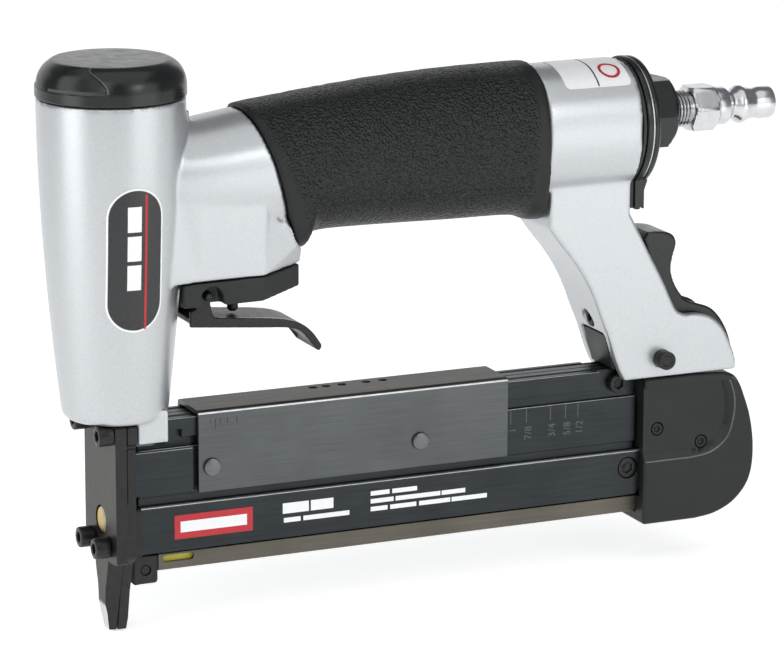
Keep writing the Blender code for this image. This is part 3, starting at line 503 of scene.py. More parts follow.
def nose_steel():
    """Black nose steel, worn to bare metal on the slope at its tip."""
    made = Shader("nose_steel", (0.06, 0.058, 0.052), 0.38, 0.8)
    scratches = made.noise(1.0, 4.0, 0.7, made.stretched((2200, 2200, 260)))
    height = made.maths("ADD", made.axis("Z"), made.maths("MULTIPLY", scratches, -0.0016))
    low = made.remap(height, 0.0070, 0.0058)
    depth = made.remap(made.axis("X"), -0.0020, -0.0028)
    bare = made.maths("MULTIPLY", low, depth)
    skin_colour = made.mix(made.noise(240, 4.0), (0.024, 0.024, 0.02), (0.05, 0.05, 0.042))
    bright = made.mix(scratches, (0.34, 0.35, 0.36), (0.85, 0.86, 0.87))
    made.colour(made.mix(bare, skin_colour, bright))
    made.roughness(made.remap(bare, 0.0, 1.0, 0.4, 0.3))
    made.bump(scratches, 0.2, 0.04)


def plating():
    made = Shader("plating", (0.6, 0.61, 0.62), 0.2, 1.0)
    rings = made.noise(1.0, 3.0, 0.6, made.stretched((1400, 120, 120)))
    made.roughness(made.remap(rings, 0.3, 0.7, 0.15, 0.28))
    made.colour(made.mix(made.noise(300, 3.0), (0.5, 0.51, 0.52), (0.7, 0.71, 0.72)))
    made.bump(rings, 0.08, 0.03)


def plain(name, dark, light, roughness, metallic=0.0, scale=500):
    """A quiet material with a little mottling."""
    made = Shader(name, light, roughness, metallic)
    made.colour(made.mix(made.noise(scale, 3.0), dark, light))
    made.roughness(made.remap(made.noise(scale * 2, 2.0), 0.3, 0.7, roughness - 0.05, roughness + 0.07))
    made.bump(made.noise(scale * 4, 2.0), 0.06, 0.04)
    return made


def make_materials():
    silver_paint()
    gloss_black()
    moulded_black()
    grip_rubber()
    black_oxide()
    nose_steel()
    plating()
    steel("anodised", (0.016, 0.0195, 0.021), (0.042, 0.049, 0.052), 0.32, (60, 2600, 2600), 0.12, 0.8)
    steel("cover_steel", (0.06, 0.066, 0.066), (0.13, 0.14, 0.139), 0.34, (60, 2600, 2600), 0.14, 0.9)
    # painted shade: a darker, browner copy of the cover steel for the cover's top face
    steel("cover_upper_face_shaded", (0.045, 0.042, 0.036), (0.10, 0.095, 0.083), 0.4, (60, 2600, 2600), 0.14, 0.9)
    steel("rivet_steel", (0.10, 0.108, 0.108), (0.2, 0.21, 0.21), 0.36, (900, 900, 900), 0.1, 0.9)
    steel("tray_steel", (0.07, 0.066, 0.055), (0.17, 0.155, 0.13), 0.42, (40, 1500, 1500), 0.2, 0.85)
    steel("wire", (0.35, 0.36, 0.37), (0.62, 0.63, 0.64), 0.28, (900, 900, 900), 0.08)
    steel("machined", (0.52, 0.53, 0.54), (0.76, 0.77, 0.78), 0.32, (1500, 1500, 1500), 0.08)
    plain("brass", (0.40, 0.29, 0.12), (0.66, 0.52, 0.26), 0.34, 1.0)
    plain("yellow_marker", (0.42, 0.38, 0.03), (0.62, 0.58, 0.08), 0.5)
    plain("seal", (0.012, 0.012, 0.012), (0.025, 0.025, 0.025), 0.6)
    plain("label_black", (0.012, 0.013, 0.014), (0.02, 0.021, 0.022), 0.3)
    plain("label_white", (0.78, 0.79, 0.79), (0.86, 0.87, 0.87), 0.4)
    plain("label_red", (0.42, 0.012, 0.02), (0.5, 0.018, 0.026), 0.5)
    # bare edge and painted highlight: bright metal for the edge faces that turn towards the lamps
    plain("bare_edge_and_highlight", (0.35, 0.36, 0.37), (0.6, 0.61, 0.62), 0.35, 0.9)
    # painted highlight: a lighter black for the lit lips and edges of black parts
    plain("painted_highlight_black", (0.06, 0.064, 0.064), (0.11, 0.115, 0.115), 0.3)
    plain("engraving", (0.06, 0.066, 0.066), (0.09, 0.096, 0.096), 0.5)


# ---------------------------------------------------------------- housing


BARREL_TOP = corner("housing", 1).z
HANDLE_STATIONS = (
    (9.0, 14.2, 108.0, 135.6),
    (22.0, 15.2, 107.0, 136.5),
    (34.0, 15.7, 106.0, 138.2),
    (47.0, 16.0, 105.0, 139.8),
    (62.0, 16.0, 105.0, 141.3),
    (76.0, 16.0, 105.2, 142.6),
    (94.0, 16.1, 105.0, 143.6),
    (112.0, 16.3, 105.4, 144.0),
    (122.0, 16.5, 108.6, 144.0),
    (147.0, 16.5, 108.8, 144.0),
)
HANDLE_EXPONENT = 2.3
GRIP_PROUD = 1.1
CORE_RECESS = 1.6


def barrel_radius(z):
    """The barrel widens upwards, ever more slowly."""
    return 19.56 - 0.001624 * max(143.9 - z, 0.0) ** 1.835


def barrel_shape():
    profile = [(0.02, 58.5), (11.2, 58.5), (12.3, 58.6), (13.2, 59.0), (13.8, 59.7)]
    for step in range(28):
        z = 60.6 + (BARREL_TOP - 60.6) * step / 27
        profile.append((barrel_radius(z), z))
    profile.append((0.02, BARREL_TOP))
    return turned(profile, "Z", (0, 0, 0), 96)


def handle_ring(station, grow, steps=72):
    x, half_width, bottom, top = station
    power = 2 / HANDLE_EXPONENT
    points = []
    for step in range(steps):
        angle = 2 * math.pi * step / steps
        cosine, sine = math.cos(angle), math.sin(angle)
        y = (half_width + grow) * math.copysign(abs(cosine) ** power, cosine)
        z = (bottom + top) / 2 + ((top - bottom) / 2 + grow) * math.copysign(abs(sine) ** power, sine)
        points.append((x, y, z))
    return points


def handle_shape(grow, first, last, rear=None):
    stations = [s for s in spline(HANDLE_STATIONS) if first <= s[0] <= last]
    rings = [handle_ring(station, grow) for station in stations]
    if rear:
        rings.append(handle_ring((rear, *stations[-1][1:]), grow))
    return skin(rings)


def grip_region(spread):
    """The side outline that the grip fills, widened by spread at both ends."""
    front = [
        (34.2, 155), (34.4, 142), (36.9, 134), (40.1, 124.8), (42, 118.2), (43.8, 112.6), (46.6, 105.4),
        (49.8, 101.2), (51.4, 98.8),
    ]
    rear = [(121.4, 98.0), (121.2, 103.0), (119.4, 112.0), (118.9, 128.0), (119.3, 155.0)]
    front = [(x - spread, z) for x, z in spline(front, 4)]
    rear = [(x + spread, z) for x, z in spline(rear, 4)]
    return front + [(front[-1][0], 92.0), (rear[0][0], 92.0)] + rear


def neck_shape():
    """The box behind the barrel: its sides lean in towards the bottom and turn in behind the crease."""
    stations = (
        (9.0, 13.9, 13.9, 95.2, 120.0), (19.0, 14.6, 13.9, 95.6, 120.0), (37.2, 15.0, 14.0, 95.9, 119.0),
        (49.5, 14.9, 8.3, 97.3, 116.0),
    )
    rings = []
    for x, upper, lower, low, high in stations:
        rings.append([(x, -lower, low), (x, lower, low), (x, upper, high), (x, -upper, high)])
    return skin(rings)


def leg_outline():
    front = [
        (122.2, 100.2), (125.4, 95.9), (129.9, 90.3), (133.4, 85), (136.2, 79.5), (138.5, 73.6),
        (140.8, 68.2), (142.6, 62.8), (144.4, 58.2),
    ]
    rear = [
        (180.8, 57.4), (179.9, 60.6), (177.5, 65.9), (175.1, 69.2), (171.9, 71.4), (168.3, 72.2),
        (164.7, 72.4), (161.9, 73.9), (160.1, 76.9), (157.3, 82.9), (153.6, 89.7), (149, 98.4),
    ]
    foot = [(146.1, 55.3), (180.6, 55.3)]
    return [(122.2, 116), *spline(front, 4), *foot, *spline(rear, 4), (146.8, 102.4), (146.8, 116)]


def housing():
    """The silver casting, with its bores, its air chamber and the slot between the leg's cheeks."""
    shell = new_object("shell", handle_shape(0.0, 9.0, 147.0))
    join(shell, neck_shape())
    cut(shell, prism(grip_region(0.3), "XZ", -30, 30))
    made = new_object("housing_casting", barrel_shape())
    join(made, handle_shape(-CORE_RECESS, 22.0, 122.0, rear=130.0))
    combine(made, shell, "UNION")
    join(made, prism(leg_outline(), "XZ", -10.4, 10.4))
    join(made, box((2.2, 10.7), (-11.6, 11.6), (53.0, 61.5)))
    join(made, box((16.0, 20.6), (-3.0, 3.0), (134.0, 139.4)))
    cut(made, rod(16.2, 112.0, 160, "Z", (0, 0, 0), 64))
    cut(made, rod(11.6, 62.0, 120, "Z", (0, 0, 0), 64))
    cut(made, handle_shape(-5.0, 34.0, 147.0, rear=155.0))
    cut(made, rod(5.5, 90, 116, "Z", STEM_AXIS, 40))
    slot = (
        (136, 50), (136, 68.5), (143.2, 68.5), (143.2, 78), (147.3, 84), (145, 96.5), (146.2, 99.6),
        (165, 99.6), (190, 80), (190, 50),
    )
    cut(made, prism(slot, "XZ", -7.0, 7.0))
    cut(made, rod(2.6, 130, 141.4, "X", LEG_SCREW_AXIS, 32))
    cut(made, rod(1.6, 140, 145, "X", LEG_SCREW_AXIS, 32))
    _, screw_y, screw_z, _ = NOSE_SCREWS[0]
    for side in (-1, 1):
        cut(made, rod(3.2, -20, -4.2, "X", (0, side * screw_y, screw_z), 32))
    cast(made, 0.5, 4)
    cut(made, rod(2.5, -15, 15, "Y", LATCH_PIVOT, 40))
    return finish_piece(made, "silver_paint", "housing")


def ease(share):
    """A smooth step from 0 to 1."""
    share = min(1.0, max(0.0, share))
    return share * share * (3 - 2 * share)


def cap_recess(radius, z, away):
    """The depth of the cap's recess: deepest at its two ends, from a rounded lip at its foot."""
    shallow = 0.3 * ease((154.1 - z) / 0.5)
    deep = max(0.0, radius - 15.4 - (154.0 - z) * 0.46)
    share = ease((away - 0.3) / 0.75)
    return (shallow + (max(deep, shallow) - shallow) * share) * ease((z - 147.3) / 0.9)


def top_cap():
    """The black cap: flat on top, with the recess of the exhaust in front, above a low ledge."""
    outer = [
        (15.9, 144.4), (19.3, 144.4), (19.65, 144.5), (19.8, 144.75), (19.8, 147.0), (19.79, 147.3),
        (19.78, 147.55), (19.76, 147.75), (19.74, 147.95), (19.7, 148.2), (19.62, 148.6), (19.5, 149.2),
        (19.27, 149.9), (18.9, 150.8), (18.4, 151.65), (17.8, 152.4), (17.1, 153.02), (16.4, 153.5),
        (15.7, 153.83), (15.1, 153.97), (14.6, 154.0), (9.0, 154.0), (0.02, 154.0),
    ]
    inner = [(0.02, 148.0), (12.6, 148.0), (12.6, 138.0), (15.9, 138.0)]

    rings = []
    for index, (radius, z) in enumerate(outer + inner):
        half = math.radians(67 - 17 * min(1.0, max(0.0, (z - 148.0) / 5.3)) ** 2.2)
        inside = [math.pi - half + 2 * half * i / 90 for i in range(91)]
        step = (2 * math.pi - 2 * half - 0.064) / 157
        outside = [math.pi + half + 0.032 + step * i for i in range(158)]
        outside = [math.pi + half + 0.01, *outside, 3 * math.pi - half - 0.01]
        recessed = 147.3 < z and index < len(outer) and radius > 14.9
        points = []
        for angle in inside + outside:
            reach = radius
            if recessed and len(points) < len(inside):
                reach -= cap_recess(radius, z, abs(angle - math.pi))
            points.append((reach * math.cos(angle), reach * math.sin(angle), z))
        rings.append(points)
    made = new_object("top_cap_detail", skin(rings, closed=True))
    finish_piece(made, "gloss_black", "top_cap", angle=30)
    ends = len(inside) - 1, len(inside), len(points) - 2, len(points) - 1
    # painted highlight: the ledge's lip and the recess's two end steps get a lighter black
    made.data.materials.append(MATERIALS["painted_highlight_black"])
    for face in made.data.polygons:
        column, height = face.index % len(points), face.center.z / MM
        lip = column < len(inside) and 147.6 < height < 148.3 and abs(face.center.y) / MM > 5
        if lip or (column in ends and 147.9 < height < 153.9):
            face.material_index = 1


# ---------------------------------------------------------------- grip, handle cap, air plug


def grip_sleeve():
    lows = (
        (30, 99.9), (49.6, 99.9), (50.6, 100.4), (51.6, 102.2), (53, 103.6), (55, 104.2), (61, 104.5),
        (76, 104.3), (94, 103.9), (112, 103.6), (118, 101.9), (124, 101.6),
    )
    sizes = spline(HANDLE_STATIONS, 8)
    rings = []
    for x, low in spline(lows, 6):
        near = min(sizes, key=lambda station: abs(station[0] - x))
        rings.append(handle_ring((x, near[1] + GRIP_PROUD, low, near[3] + GRIP_PROUD), 0.0, 96))
    made = new_object("grip_rubber_sleeve", skin(rings))
    region = new_object("tool", prism(grip_region(0.0), "XZ", -30, 30))
    combine(made, region, "INTERSECT")
    cut(made, handle_shape(0.3 - CORE_RECESS, 9.0, 122.0, rear=132.0))
    cast(made, 0.5, 3)
    finish_piece(made, "grip_rubber", "grip_sleeve")


def flange_ring(x, grow, drop, steps=96):
    """The handle cap's outline at x: the round head, and a tab down to drop."""
    radius, half_width, tab = 17.6 + grow, 16.5 + grow, 9.0 + grow
    start = math.asin(tab / half_width)
    points = []
    for step in range(steps + 1):
        angle = start + (2 * math.pi - 2 * start) * step / steps
        points.append((x, half_width * math.sin(angle), HEAD_CENTRE_Z - radius * math.cos(angle)))
    return points + [(x, -tab, drop), (x, tab, drop)]


def handle_cap():
    layers = (
        (148.4, 0.0), (148.5, 0.3), (148.8, 0.45), (149.8, 0.45), (150.1, 0.3), (150.2, -0.2), (150.6, -0.2),
        (150.7, 0.2), (151.0, 0.35), (151.8, 0.3), (152.3, 0.0), (152.7, -0.6), (152.9, -1.4),
    )
    rings = [flange_ring(x, grow, 103.8 - grow) for x, grow in layers]
    made = new_object("handle_cap_detail", skin(rings))
    tab = prism(((-9.35, 103.9), (9.35, 103.9), (9.35, 112.4), (-9.35, 112.4)), "YZ", 149.9, 150.9)
    join(made, tab)
    foot = ((151.3, 100), (151.3, 108.6), (152.0, 110.4), (154, 112), (156, 112), (156, 100))
    cut(made, prism(foot, "XZ", -13, 13))
    boss = (
        (9.3, 150.0, 6), (9.3, 160.6, 6, 10.74), (9.3, 161.2, 6, 10.0), (9.3, 161.8, 6, 9.3), (8.5, 162.3),
        (7.8, 162.5), (6.0, 162.5), (5.4, 161.9),
    )
    join(made, turned(boss, "X", AIR_AXIS, 96))
    join(made, rod(11.0, 143.5, 150, "X", (0, 0, HEAD_CENTRE_Z), 64))
    cut(made, rod(5.1, 140, 170, "X", AIR_AXIS, 48))
    bevel(made, 0.22, 2, 40)
    finish_piece(made, "gloss_black", "handle_cap")
    # painted highlight, partly bare metal: a thin bright ring in the groove between the flange's layers
    section = ((150.22, -0.12), (150.22, 0.1), (150.58, 0.1), (150.58, -0.12))
    rim = [flange_ring(x, grow, 104.3) for x, grow in section]
    seam = new_object("handle_cap_seam", skin(rim, closed=True))
    cut(seam, box((149, 152), (-13, 13), (102, 112.5)))
    dress(seam, "bare_edge_and_highlight", "tool_body", angle=30)


def air_plug():
    """A turned quick plug with a threaded root and a chamfered hexagon."""
    profile = [(2.4, 155.0), (4.4, 155.0), (4.7, 155.3), (4.7, 163.0)]
    for turn in range(5):
        x = 163.2 + turn * 1.0
        profile += [(4.9, x), (5.15, x + 0.3), (4.9, x + 0.6), (4.45, x + 0.8)]
    profile += [
        (4.9, 168.3), (5.7, 168.5), (6.0, 168.75, 6, 6.1), (6.0, 169.1, 6, 6.5), (6.0, 169.5, 6, 6.93),
        (6.0, 175.6, 6, 6.93), (6.0, 176.0, 6, 6.5), (6.0, 176.35, 6, 6.1), (5.5, 176.6), (5.1, 176.7),
        (5.1, 177.0), (5.25, 177.1), (5.25, 180.0), (5.0, 180.5), (4.2, 181.2), (3.8, 181.9),
        (3.8, 182.5), (4.3, 183.3),
        (5.0, 184.1), (5.25, 184.7), (5.25, 185.6), (5.0, 186.1), (4.8, 186.4), (4.62, 187.0), (4.45, 187.8),
        (4.25, 188.8), (4.2, 189.4), (4.3, 190.2), (4.48, 190.9), (4.5, 191.4), (4.5, 194.2),
        (4.35, 194.7), (3.9, 195.0), (3.0, 195.0), (2.4, 194.4),
    ]
    made = new_object("air_plug_detail", turned(profile, "X", AIR_AXIS, 96, closed=True))
    finish_piece(made, "plating", "air_plug", angle=30)


# ---------------------------------------------------------------- trigger group


def trigger_bracket():
    outline = (
        (14.4, 88.9), (14.4, 95.0), (18.9, 95.2), (37.2, 95.5), (49.3, 96.9), (49.3, 90.9),
        (36.5, 89.0), (26, 88.9),
    )
    made = new_object("trigger_bracket_detail", prism(rounded(outline, 0.6, 3), "XZ", -13.7, 13.7))
    for side in (-1, 1):
        wedge = ((37.2, side * 13.7), (55.5, side * 5.24), (55.5, side * 30), (37.2, side * 30))
        cut(made, prism(wedge, "XY", 80, 100))
    cut(made, rod(18.0, 80, 100, "Z", (0, 0, 0), 96))
    cut(made, box((10, 41), (-7.6, 7.6), (80, 93.1)))
    cut(made, rod(2.0, 90, 99, "Z", STEM_AXIS, 32))
    notch = ((19.6, 91), (25.4, 91), (27.2, 86), (19.0, 86))
    for side in (-1, 1):
        low, high = sorted((side * 9.6, side * 16))
        cut(made, rod(3.1, low, high, "Y", TRIGGER_PIVOT, 40))
        cut(made, prism(notch, "XZ", low, high))
    cast(made, 0.3, 3)
    cut(made, rod(1.3, -16, 16, "Y", TRIGGER_PIVOT, 32))
    finish_piece(made, "moulded_black", "trigger_bracket")
    profile = ((0.02, -11.4), (0.7, -11.4), (1.0, -11.1), (1.0, 11.1), (0.7, 11.4), (0.02, 11.4))
    pin = new_object("trigger_pin_detail", turned(profile, "Y", TRIGGER_PIVOT, 32))
    finish_piece(pin, "black_oxide", "trigger_pin", angle=35)


def trigger_lever():
    """Pressed steel: a flat web between two walls, an arm up to the pin, and a curled finger tip."""
    tail = [(40, 80), (45.5, 79.5), (48.4, 78.9), (50.6, 77.7), (52.9, 75), (54.4, 73.0)]
    back = [(56.2, 73.9), (53.7, 77.4), (50.6, 80.0), (46.4, 81.6), (41, 82.5)]
    side = (
        [(18.8, 82)] + spline(tail, 5) + [(55.0, 72.4), (55.7, 72.3), (56.2, 73.0)] + spline(back, 5)
        + [(26, 84), (25.2, 84.8), (24.6, 87), (24.2, 91.6), (23.2, 92.6), (21.4, 92.6), (20.6, 91.4)]
        + [(20.4, 87), (18.8, 86.2)]
    )
    made = new_object("trigger_lever_detail", prism(side, "XZ", -7.2, 7.2))
    inside = 6.0
    below = [(26, 82.8), (42, 81.45), (46.2, 80.9), (49.6, 79.5), (52.3, 76.3), (54.7, 73.3), (53, 70)]
    cut(made, prism([(17, 78), (17, 82.9), *spline(below, 5)], "XZ", -inside, inside))
    cut(made, box((17, 30), (-inside, inside), (84.2, 96)))
    cast(made, 0.27, 2)
    cut(made, rod(1.3, -16, 16, "Y", TRIGGER_PIVOT, 32))
    finish_piece(made, "black_oxide", "trigger_lever")
    # painted highlight, partly bare edges: the walls' upward top faces get the bright edge metal
    restyle_faces(made, lambda place, normal: normal.z > 0.75 and place.x > 27 and abs(place.y) > 6.0)


def trigger_valve():
    profile = (
        (0.02, 83.7), (0.6, 83.7), (1.1, 84.0), (1.5, 84.5), (1.5, 101.8), (2.9, 101.8), (2.9, 104.0),
        (0.02, 104.0),
    )
    stem = new_object("valve_stem_detail", turned(profile, "Z", STEM_AXIS, 40))
    finish_piece(stem, "black_oxide", "trigger_valve_stem", angle=35)
    spring = new_object("valve_spring_coil", coil(2.4, 0.3, 104.3, 111.6, 5, "Z", STEM_AXIS))
    finish_spring(spring, "trigger_valve_spring")


def finish_spring(spring, node):
    """A spring between two bodies: it gets the wire look and smooth shading, its CAD node is hidden and its
    transform is baked.
    """
    spring.data.materials.append(MATERIALS["wire"])
    spring.data.shade_smooth()
    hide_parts(node)
    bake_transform(spring)


# ---------------------------------------------------------------- nose


def mirrored(half):
    return list(half) + [(-y, z) for y, z in reversed(half)]


def screw_holes(low, high):
    bm = bmesh.new()
    for _, y, z, _ in NOSE_SCREWS:
        for side in (-1, 1):
            rod(1.8, low, high, "X", (0, side * y, z), 32, bm)
    return bm


def nose_plate():
    half = (
        (2.2, 0), (5.0, 9.5), (8.6, 19.4), (8.8, 20.4), (11.6, 20.7), (12.0, 21.1), (12.0, 57.8),
        (11.6, 58.2),
    )
    plate = new_object("nose_plate_detail", prism(mirrored(half), "YZ", -4.4, -1.25))
    for side in (-1, 1):
        facet = []
        for z, crest, edge in ((20.3, 5.3, 8.8), (12.0, 2.9, 5.9), (-1.0, 0.9, 2.0)):
            lean = (edge - crest) / 3.15
            start, end = side * (crest - 1.6 * lean), side * (edge + 0.05 * lean)
            facet.append([(-6.0, start, z), (-6.0, side * 14, z), (-1.2, side * 14, z), (-1.2, end, z)])
        cut(plate, skin(facet))
    cut(plate, prism(((-6, 7.5), (-4.4, 7.5), (-3.0, -0.5), (-6, -0.5)), "XZ", -10, 10))
    cut(plate, screw_holes(-8, 2))
    cut(plate, rod(3.9, -8, -2.3, "X", BRASS_CENTRE, 48))
    bevel(plate, 0.3, 2)
    finish_piece(plate, "nose_steel", "nose_plate")
    # painted shade: the plate's side faces get the darker black oxide in place of the nose steel
    restyle_faces(plate, lambda place, normal: abs(normal.y) > 0.5, "black_oxide")
    disc = ((0.02, -4.0), (2.6, -4.0), (2.9, -4.15), (3.3, -4.15), (3.6, -3.9), (3.6, -2.6), (0.02, -2.6))
    plug = new_object("brass_plug_detail", turned(disc, "X", BRASS_CENTRE, 48))
    finish_piece(plug, "brass", "brass_plug", angle=35)


def driver_guide():
    half = (
        (2.6, 0), (4.8, 10.8), (7.6, 19.4), (9.6, 21.0), (10.6, 22.9), (10.6, 52.0), (11.0, 52.8),
        (12.0, 53.4), (12.0, 57.7), (11.5, 58.2),
    )
    guide = new_object("driver_guide_detail", prism(mirrored(half), "YZ", -0.95, 1.8))
    back = ((6, -1), (1.45, -1), (1.45, 0), (2.7, 11), (2.7, 19.2), (1.8, 20), (6, 20))
    cut(guide, prism(back, "XZ", -15, 15))
    cut(guide, box((-3, 0.75), (-1.3, 1.3), (-2, 60)))
    cut(guide, box((0.5, 6), (-0.9, 0.9), (20.6, 46)))
    cut(guide, screw_holes(-3, 8))
    bevel(guide, 0.22, 2)
    finish_piece(guide, "black_oxide", "driver_guide")


def foot_block():
    half = ((5.2, 12.6), (5.2, 20.4), (8.0, 21.2), (8.0, 33.5), (7.5, 34.0), (1.6, 34.0), (1.6, 20.4))
    foot = new_object("foot_block_detail", prism(mirrored(half), "YZ", 2.1, 4.3))
    toe = rounded(((3.2, 12.6), (9.6, 12.6), (9.6, 20.1), (3.2, 20.1)), [0, 1.0, 0.3, 0])
    join(foot, prism(toe, "XZ", -5.0, 5.0))
    cut(foot, prism(((1.9, 10), (1.9, 20.3), (3.0, 20.3), (3.0, 10)), "XZ", -10, 10))
    cut(foot, screw_holes(0, 6))
    cut(foot, rod(1.5, -8, -4.3, "Y", FOOT_PIN, 32))
    bevel(foot, 0.25, 2)
    finish_piece(foot, "black_oxide", "foot_block")
    button = ((0.02, -4.75), (0.7, -4.75), (1.2, -4.65), (1.35, -4.35), (1.35, -3.2), (0.02, -3.2))
    pin = new_object("foot_pin", turned(button, "Y", FOOT_PIN, 32))
    dress(pin, "black_oxide", "tool_body", angle=35)


def side_strips():
    """Narrow strips down both sides of the driver guide."""
    for side, word in SIDES:
        low, high = sorted((side * 10.5, side * 10.95))
        strip = new_object(f"side_strip_{word}", box((-0.75, 1.6), (low, high), (37.0, 51.8)))
        bevel(strip, 0.15, 2)
        dress(strip, "black_oxide", "tool_body")


def nose_screws():
    for side, word in SIDES:
        for level, y, z, length in NOSE_SCREWS:
            seat = (-4.7, side * y, z)
            socket_screw(f"nose_screw_{level}_{word}", seat, "X", -1, (2.8, 4.0), (1.5, length), (1.3, 2.0))


# ---------------------------------------------------------------- magazine, fixed part


def magazine_sides():
    outline = (
        (1.6, 21.1), (6.7, 21.1), (6.7, 34.0), (4.6, 34.2), (4.6, 36.2), (5.5, 36.4),
        (5.5, 49.4), (4.4, 49.6), (4.4, 52.1), (6.2, 52.3), (6.2, 57.6), (4.4, 57.6), (4.1, 57.1),
        (3.1, 57.1), (2.8, 57.6), (0.15, 57.6), (0.15, 47.4), (1.6, 47.4),
    )
    radii = [0.2, 0.5, 0.9, 0.2, 0.2, 0.35, 0.35, 0.2, 0.2, 0.3, 0.4, 0.2, 0.1, 0.1, 0.2, 0.2, 0, 0.2]
    front, rear = corner("magazine_side_left", 0).x, corner("magazine_side_left", 1).x
    for side, word in SIDES:
        half = [(side * y, z) for y, z in rounded(outline, radii, 3)]
        made = new_object(f"magazine_rail_{word}", prism(half, "YZ", front, rear))
        outer = sorted((0, side * 12))
        lower_screw = (LOWER_SCREW[0], 0, LOWER_SCREW[1])
        cut(made, box((151.6, 160), outer, (34.1, 62)))
        cut(made, box((0, 12.3), outer, (50.4, 62)))
        cut(made, box((12, 16.4), sorted((side * 4.4, side * 12)), (50.4, 54.6)))
        cut(made, box((140, 160), sorted((side * 4.4, side * 12)), (50.6, 60)))
        cut(made, rod(1.8, -14, 14, "Y", (UPPER_SCREW[0], 0, UPPER_SCREW[1]), 32))
        cut(made, rod(1.6, *sorted((side * 2.4, side * 12)), "Y", lower_screw, 32))
        cut(made, rod(3.2, *sorted((side * 4.9, side * 12)), "Y", lower_screw, 48))
        cut(made, prism(((150.6, 20), (155, 20), (155, 24.2), (153.8, 24.2)), "XZ", *outer))
        if side > 0:
            cut(made, rod(1.6, 50.4, 60, "Z", DETENT_AXIS, 32))
        bevel(made, 0.18, 2, 50)
        finish_piece(made, "anodised", f"magazine_side_{word}")
        # painted highlight, partly bare edges: the rails' upward outer bevels get the bright edge metal
        restyle_faces(made, lambda place, normal: 0.2 < normal.z < 0.97 and abs(normal.y) > 0.2 and abs(place.y) > 5.0)
        low, high = sorted((side * 5.8, side * 7.5))
        panel = new_object(f"front_panel_detail_{word}", box((2.4, 19.3), (low, high), (37.4, 49.5)))
        bevel(panel, 0.45, 3)
        finish_piece(panel, "anodised", f"front_panel_{word}")
        # painted highlight, partly bare edges: the panel's upper bevels get the bright edge metal
        restyle_faces(panel, lambda place, normal: 0.35 < normal.z < 0.92 and abs(normal.y) > 0.3)


def rear_screws():
    seat = (UPPER_SCREW[0], -4.7, UPPER_SCREW[1])
    socket_screw("rear_screw_upper", seat, "Y", -1, (2.7, 2.0), (1.5, 8.8), (1.3, 1.3))
    for side, word in SIDES:
        seat = (LOWER_SCREW[0], side * 5.2, LOWER_SCREW[1])
        socket_screw(f"rear_screw_lower_{word}", seat, "Y", side, (2.9, 1.4), (1.3, 2.4), (1.4, 1.0))


def hanger():
    outline = (
        (144, 57.9), (141.4, 67.9), (143.5, 68.1), (143.5, 77.6), (149.2, 77.6), (151.4, 68), (151.4, 57.9),
    )
    made = new_object("magazine_hanger_detail", prism(outline, "XZ", -6.6, 6.6))
    cut(made, rod(1.6, 142, 148.4, "X", LEG_SCREW_AXIS, 32))
    bevel(made, 0.35, 2)
    finish_piece(made, "moulded_black", "magazine_hanger")
    seat = (141.1, 0, LEG_SCREW_AXIS[2])
    socket_screw("leg_screw", seat, "X", -1, (2.3, 1.2), (1.3, 6.8), (1.0, 0.8))


def scale_marks():
    """Ticks and pin lengths in inches on the magazine's left side, and short ticks on the cover."""
    bm = bmesh.new()
    surface = -5.5
    for x, _ in PIN_SCALE:
        box((x - 0.13, x + 0.13), (surface - 0.06, surface + 0.1), (45.2, 49.0), bm)
    made = new_object("scale_ticks", bm)
    dress(made, "engraving", "tool_body")
    for x, words in PIN_SCALE:
        curve = bpy.data.curves.new("number", "FONT")
        curve.body = words
        curve.size = 3.1 * MM
        curve.extrude = 0.06 * MM
        curve.resolution_u = 2
        curve.align_x = "RIGHT"
        curve.align_y = "CENTER"
        source = bpy.data.objects.new("number", curve)
        link(source)
        turn = Matrix.Rotation(math.radians(90), 4, "X") @ Matrix.Rotation(math.radians(90), 4, "Z")
        source.matrix_world = Matrix.Translation(Vector((x + 0.6, surface, 44.2)) * MM) @ turn
        graph = bpy.context.evaluated_depsgraph_get()
        mesh = bpy.data.meshes.new_from_object(source.evaluated_get(graph))
        mesh.transform(source.matrix_world)
        bpy.data.objects.remove(source, do_unlink=True)
        number = bpy.data.objects.new("scale_number_" + words.replace("/", "_"), mesh)
        link(number)
        dress(number, "engraving", "tool_body")
    bm = bmesh.new()
    for x, low in ((23.9, 55.3), (25.4, 53.8), (26.8, 54.8), (28.8, 55.1), (31.5, 55.1)):
        box((x - 0.1, x + 0.1), (-7.75, -7.6), (low, 56.7), bm)
    marks = new_object("cover_ticks", bm)
    dress(marks, "label_black", "selector")


# ---------------------------------------------------------------- selector cover


